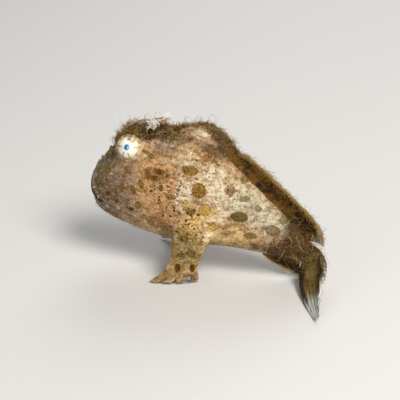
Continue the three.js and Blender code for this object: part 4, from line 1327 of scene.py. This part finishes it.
# Each row: name, thread and slot, how many, on which fin, least and most length, thickness and curl, from
# where to where along the fin and out from its root, how far it stands out rather than aside, and its seed.
WHOLE = (0.01, 0.99)
FRINGES = (
    ("dorsal_fringe", TAN, "hairy_skin", 640, dorsal_place,
     (0.4, 2.2), (0.02, 0.042), (1.0, 6.0), WHOLE, (0.88, 1.0), 0.75, 12),
    ("dorsal_end", PALE, "hairy_skin", 160, dorsal_place,
     (0.6, 2.2), (0.025, 0.05), (0.3, 3.0), (0.9, 0.995), (0.45, 1.0), 0.8, 33),
    ("dorsal_wisps", TAN, "hairy_skin", 210, dorsal_place,
     (1.2, 2.9), (0.032, 0.055), (0.8, 6.0), WHOLE, (0.7, 1.0), 0.85, 35),
    ("dorsal_threads", TAN, "hairy_skin", 240, dorsal_place,
     (0.8, 2.6), (0.02, 0.042), (2.0, 7.5), WHOLE, (0.25, 0.9), 0.35, 13),
    ("anal_fringe", TAN, "hairy_skin", 120, anal_place,
     (0.6, 2.2), (0.025, 0.045), (0.4, 3.0), WHOLE, (0.4, 0.98), 0.6, 14),
    ("tail_threads", PALE, "clear_fin", 160, tail_place,
     (0.4, 1.2), (0.02, 0.035), (0.4, 2.5), WHOLE, (0.1, 0.98), 0.3, 15),
)
for fringe in FRINGES:
    along_fin(*fringe)

# The longest single filaments, each from its root, over a bend, to its tip, in dots of the picture, and how
# far its bend and tip stand off towards the camera, in millimetres. Like ones grow on the other flank.
LONG_HAIRS = (
    (152, 122, 156, 112, 164, 117, 0.4), (164, 117, 170, 119, 174, 126, 0.2),
    (131, 127, 132, 119, 139, 117, 0.4), (142, 124, 146, 114, 151, 114, 0.4),
    (269, 245, 266, 251, 265, 258, 0.4), (285, 249, 282, 255, 277, 262, 0.4),
    (292, 253, 297, 260, 304, 263, 0.4), (299, 245, 302, 250, 305, 252, 0.4),
    (300, 232, 296, 238, 300, 243, 0.4), (288, 236, 292, 242, 289, 247, 0.4),
    (308, 240, 313, 246, 311, 252, 0.4), (280, 240, 276, 245, 279, 249, 0.3),
    (144, 218, 146, 224, 150, 226, 0.2), (152, 228, 156, 231, 154, 234, 0.2),
    (206, 121, 211, 115, 218, 121, 0.3), (192, 122, 197, 117, 204, 119, 0.3),
    (226, 137, 232, 136, 233, 141, 0.3), (216, 128, 222, 125, 225, 130, 0.2),
    (182, 122, 186, 117, 191, 119, 0.2),
)
long_forms = []
for x, y, bend_x, bend_y, tip_x, tip_y, off in LONG_HAIRS:
    root, _ = seen_at(x, y)
    stops = [root + (root - sight_line(x, y)[0]).normalized() * 0.2]
    for dot_x, dot_y in ((bend_x, bend_y), (tip_x, tip_y)):
        start, aim = sight_line(dot_x, dot_y)
        stops.append(start + aim * ((root - start).dot(aim) - off))
    for flank in FLANKS:
        line = through(*[stop * mirror(flank) for stop in stops])
        long_forms.append(limb(line, (0.3, 1, 0.2), lambda t: [mix(0.045, 0.015, t ** 2)] * 2, 14, 6))
long_form = gathered(long_forms)
long_marks = {"tone": [0.8] * len(long_form.verts), "tip": [0.6] * len(long_form.verts)}
finished("long_hairs", long_form, TAN, long_marks, "hairy_skin")

# Lure: the first spine of the back is a fine fishing rod, laid back over the crest. It ends in a fluffy
# white tuft and a small orange bead, and a second white tuft grows beside it.
rod_line = through(
    (-18.4, 0, back_at(-18.4) - 1), (-18.4, -0.4, 27.6), (-17.2, -0.8, 29.4), (-14.8, -1.0, 30.9),
    (-12.0, -0.9, 31.5), (-9.4, -0.8, 32.1),
)
lure_finish = Finish("lure")
bead = lure_finish.mark("bead")
lure_fine = lure_finish.grain(3, 3)
lure_colour = lure_finish.blend(rgb(0.24, 0.16, 0.08), rgb(0.50, 0.41, 0.27), lure_fine.above(0.45, 0.65))
lure_colour = lure_finish.blend(lure_colour, rgb(0.52, 0.17, 0.045), bead * (0.75 + lure_fine * 0.3))
LURE = lure_finish.surface(
    lure_colour, 0.4, lure_fine, 0.04,
    Subsurface_Weight=0.2, Subsurface_Radius=(0.6, 0.4, 0.2), Subsurface_Scale=0.4 * MM,
)
BEAD = Vector((-9.6, -1.2, 31.3))
BEAD_RADIUS = 0.5
rod_form = limb(
    rod_line, (0, 1, 0), lambda t: [mix(0.3, 0.17, t) * (1 + 0.12 * math.sin(t * 40))] * 2, 60, 12,
)
lure_form = gathered([rod_form, ball(BEAD, BEAD_RADIUS)])
bead_mark = [float((vert.co - BEAD).length < BEAD_RADIUS * 1.1) for vert in lure_form.verts]
finished("lure_stalk", lure_form, LURE, {"bead": bead_mark}, "filament", "lure_rod")


def tuft(name, middle, spread, longest, up, seed, count=80):
    """White filaments that spread from one place."""
    rng = np.random.default_rng(seed)
    roots = np.array(middle) + rng.normal(0, spread, (count, 3))
    ups = unit(np.array(up) + rng.normal(0, 0.55, (count, 3)))
    lies = unit(np.array((0.9, -0.2, 0.4)) + rng.normal(0, 0.5, (count, 3)))
    sizes = drawn_sizes(rng, count, (0.9, longest), (0.09, 0.2), (0.3, 2.4))
    filaments(name, WHITE, "filament", roots, ups, lies, sizes, 0.5, body_unwrap(roots), seed)


tuft("lure_tuft", (-8.9, -1.0, 32.1), 0.2, 1.7, (0.2, -0.3, 0.9), 21)
tuft("crest_tuft", (-11.6, -1.9, 30.9), 0.3, 1.8, (0, -0.6, 0.9), 22)

# A few more whitish tags of skin show on the chin, the lip and the cheek: dot across, dot down, and length.
TAGS = (
    (95, 187, 0.6), (99, 196, 0.5), (103, 203, 0.8), (118, 207, 0.7), (146, 221, 0.8), (112, 173, 0.35),
    (97, 175, 0.4), (165, 175, 0.3), (108, 206, 0.5), (134, 215, 0.5), (175, 127, 0.4), (104, 158, 0.4),
    (160, 228, 0.6), (170, 236, 0.6),
)
TAG_HAIRS = 8
tags = [seen_at(x, y) for x, y, _ in TAGS for _ in range(TAG_HAIRS)]
tag_rng = np.random.default_rng(31)
tag_roots = np.array([place for place, _ in tags]) + tag_rng.normal(0, 0.13, (len(tags), 3))
tag_ups = unit(np.array([normal for _, normal in tags]) + tag_rng.normal(0, 0.5, (len(tags), 3)))
tag_sizes = drawn_sizes(tag_rng, len(tags), (0.7, 1.3), (0.02, 0.045), (0, 2))
tag_sizes[0] = np.repeat([length for _, _, length in TAGS], TAG_HAIRS) * tag_sizes[0] + ROOT_DEPTH
tag_lies = np.tile((-0.3, 0, -0.9), (len(tags), 1))
tag_unwrap = body_unwrap(tag_roots)
filaments("skin_tags", WHITE, "filament", tag_roots, tag_ups, tag_lies, tag_sizes, 0.5, tag_unwrap, 32)

# Ground and light: a plain pale floor, a broad soft lamp above and behind the camera's right shoulder, and
# two weaker ones that open the shadows.
floor_form = bmesh.new()
bmesh.ops.create_grid(floor_form, x_segments=1, y_segments=1, size=1.5)
floor_mesh = bpy.data.meshes.new("floor")
floor_form.to_mesh(floor_mesh)
floor = bpy.data.objects.new("floor", floor_mesh)
bpy.context.collection.objects.link(floor)
floor_finish = Finish("floor")
floor_fine = floor_finish.grain(0.02, 2)
floor_mesh.materials.append(floor_finish.surface(rgb(0.62, 0.61, 0.59), 0.8, floor_fine, 0.01))


def lamp(name, bearing_degrees, height_degrees, away, size, power, tint):
    """A soft square lamp that faces the fish. Its bearing goes round from the camera's side, to the right."""
    data = bpy.data.lights.new(name, "AREA")
    data.size = size
    data.energy = power
    data.color = tint
    light = bpy.data.objects.new(name, data)
    round_it = CAMERA_ROUND + math.radians(bearing_degrees)
    height = math.radians(height_degrees)
    way = Vector((
        math.sin(round_it) * math.cos(height), -math.cos(round_it) * math.cos(height), math.sin(height),
    ))
    light.location = layout_zero + (CAMERA_AIM * MM) + way * away
    light.rotation_euler = way.to_track_quat("Z", "Y").to_euler()
    bpy.context.collection.objects.link(light)


lamp("key", 34, 50, 0.45, 0.2, 2.3, (1.0, 0.97, 0.92))
lamp("fill", -60, 30, 0.6, 0.4, 0.45, (0.92, 0.96, 1.0))
lamp("rim", 165, 40, 0.5, 0.3, 1.0, (1.0, 1.0, 1.0))
world = bpy.data.worlds.new("studio")
world.use_nodes = True
world.node_tree.nodes["Background"].inputs["Color"].default_value = rgb(0.80, 0.82, 0.85)
world.node_tree.nodes["Background"].inputs["Strength"].default_value = 0.28
bpy.context.scene.world = world
bpy.context.scene.view_settings.view_transform = "Standard"
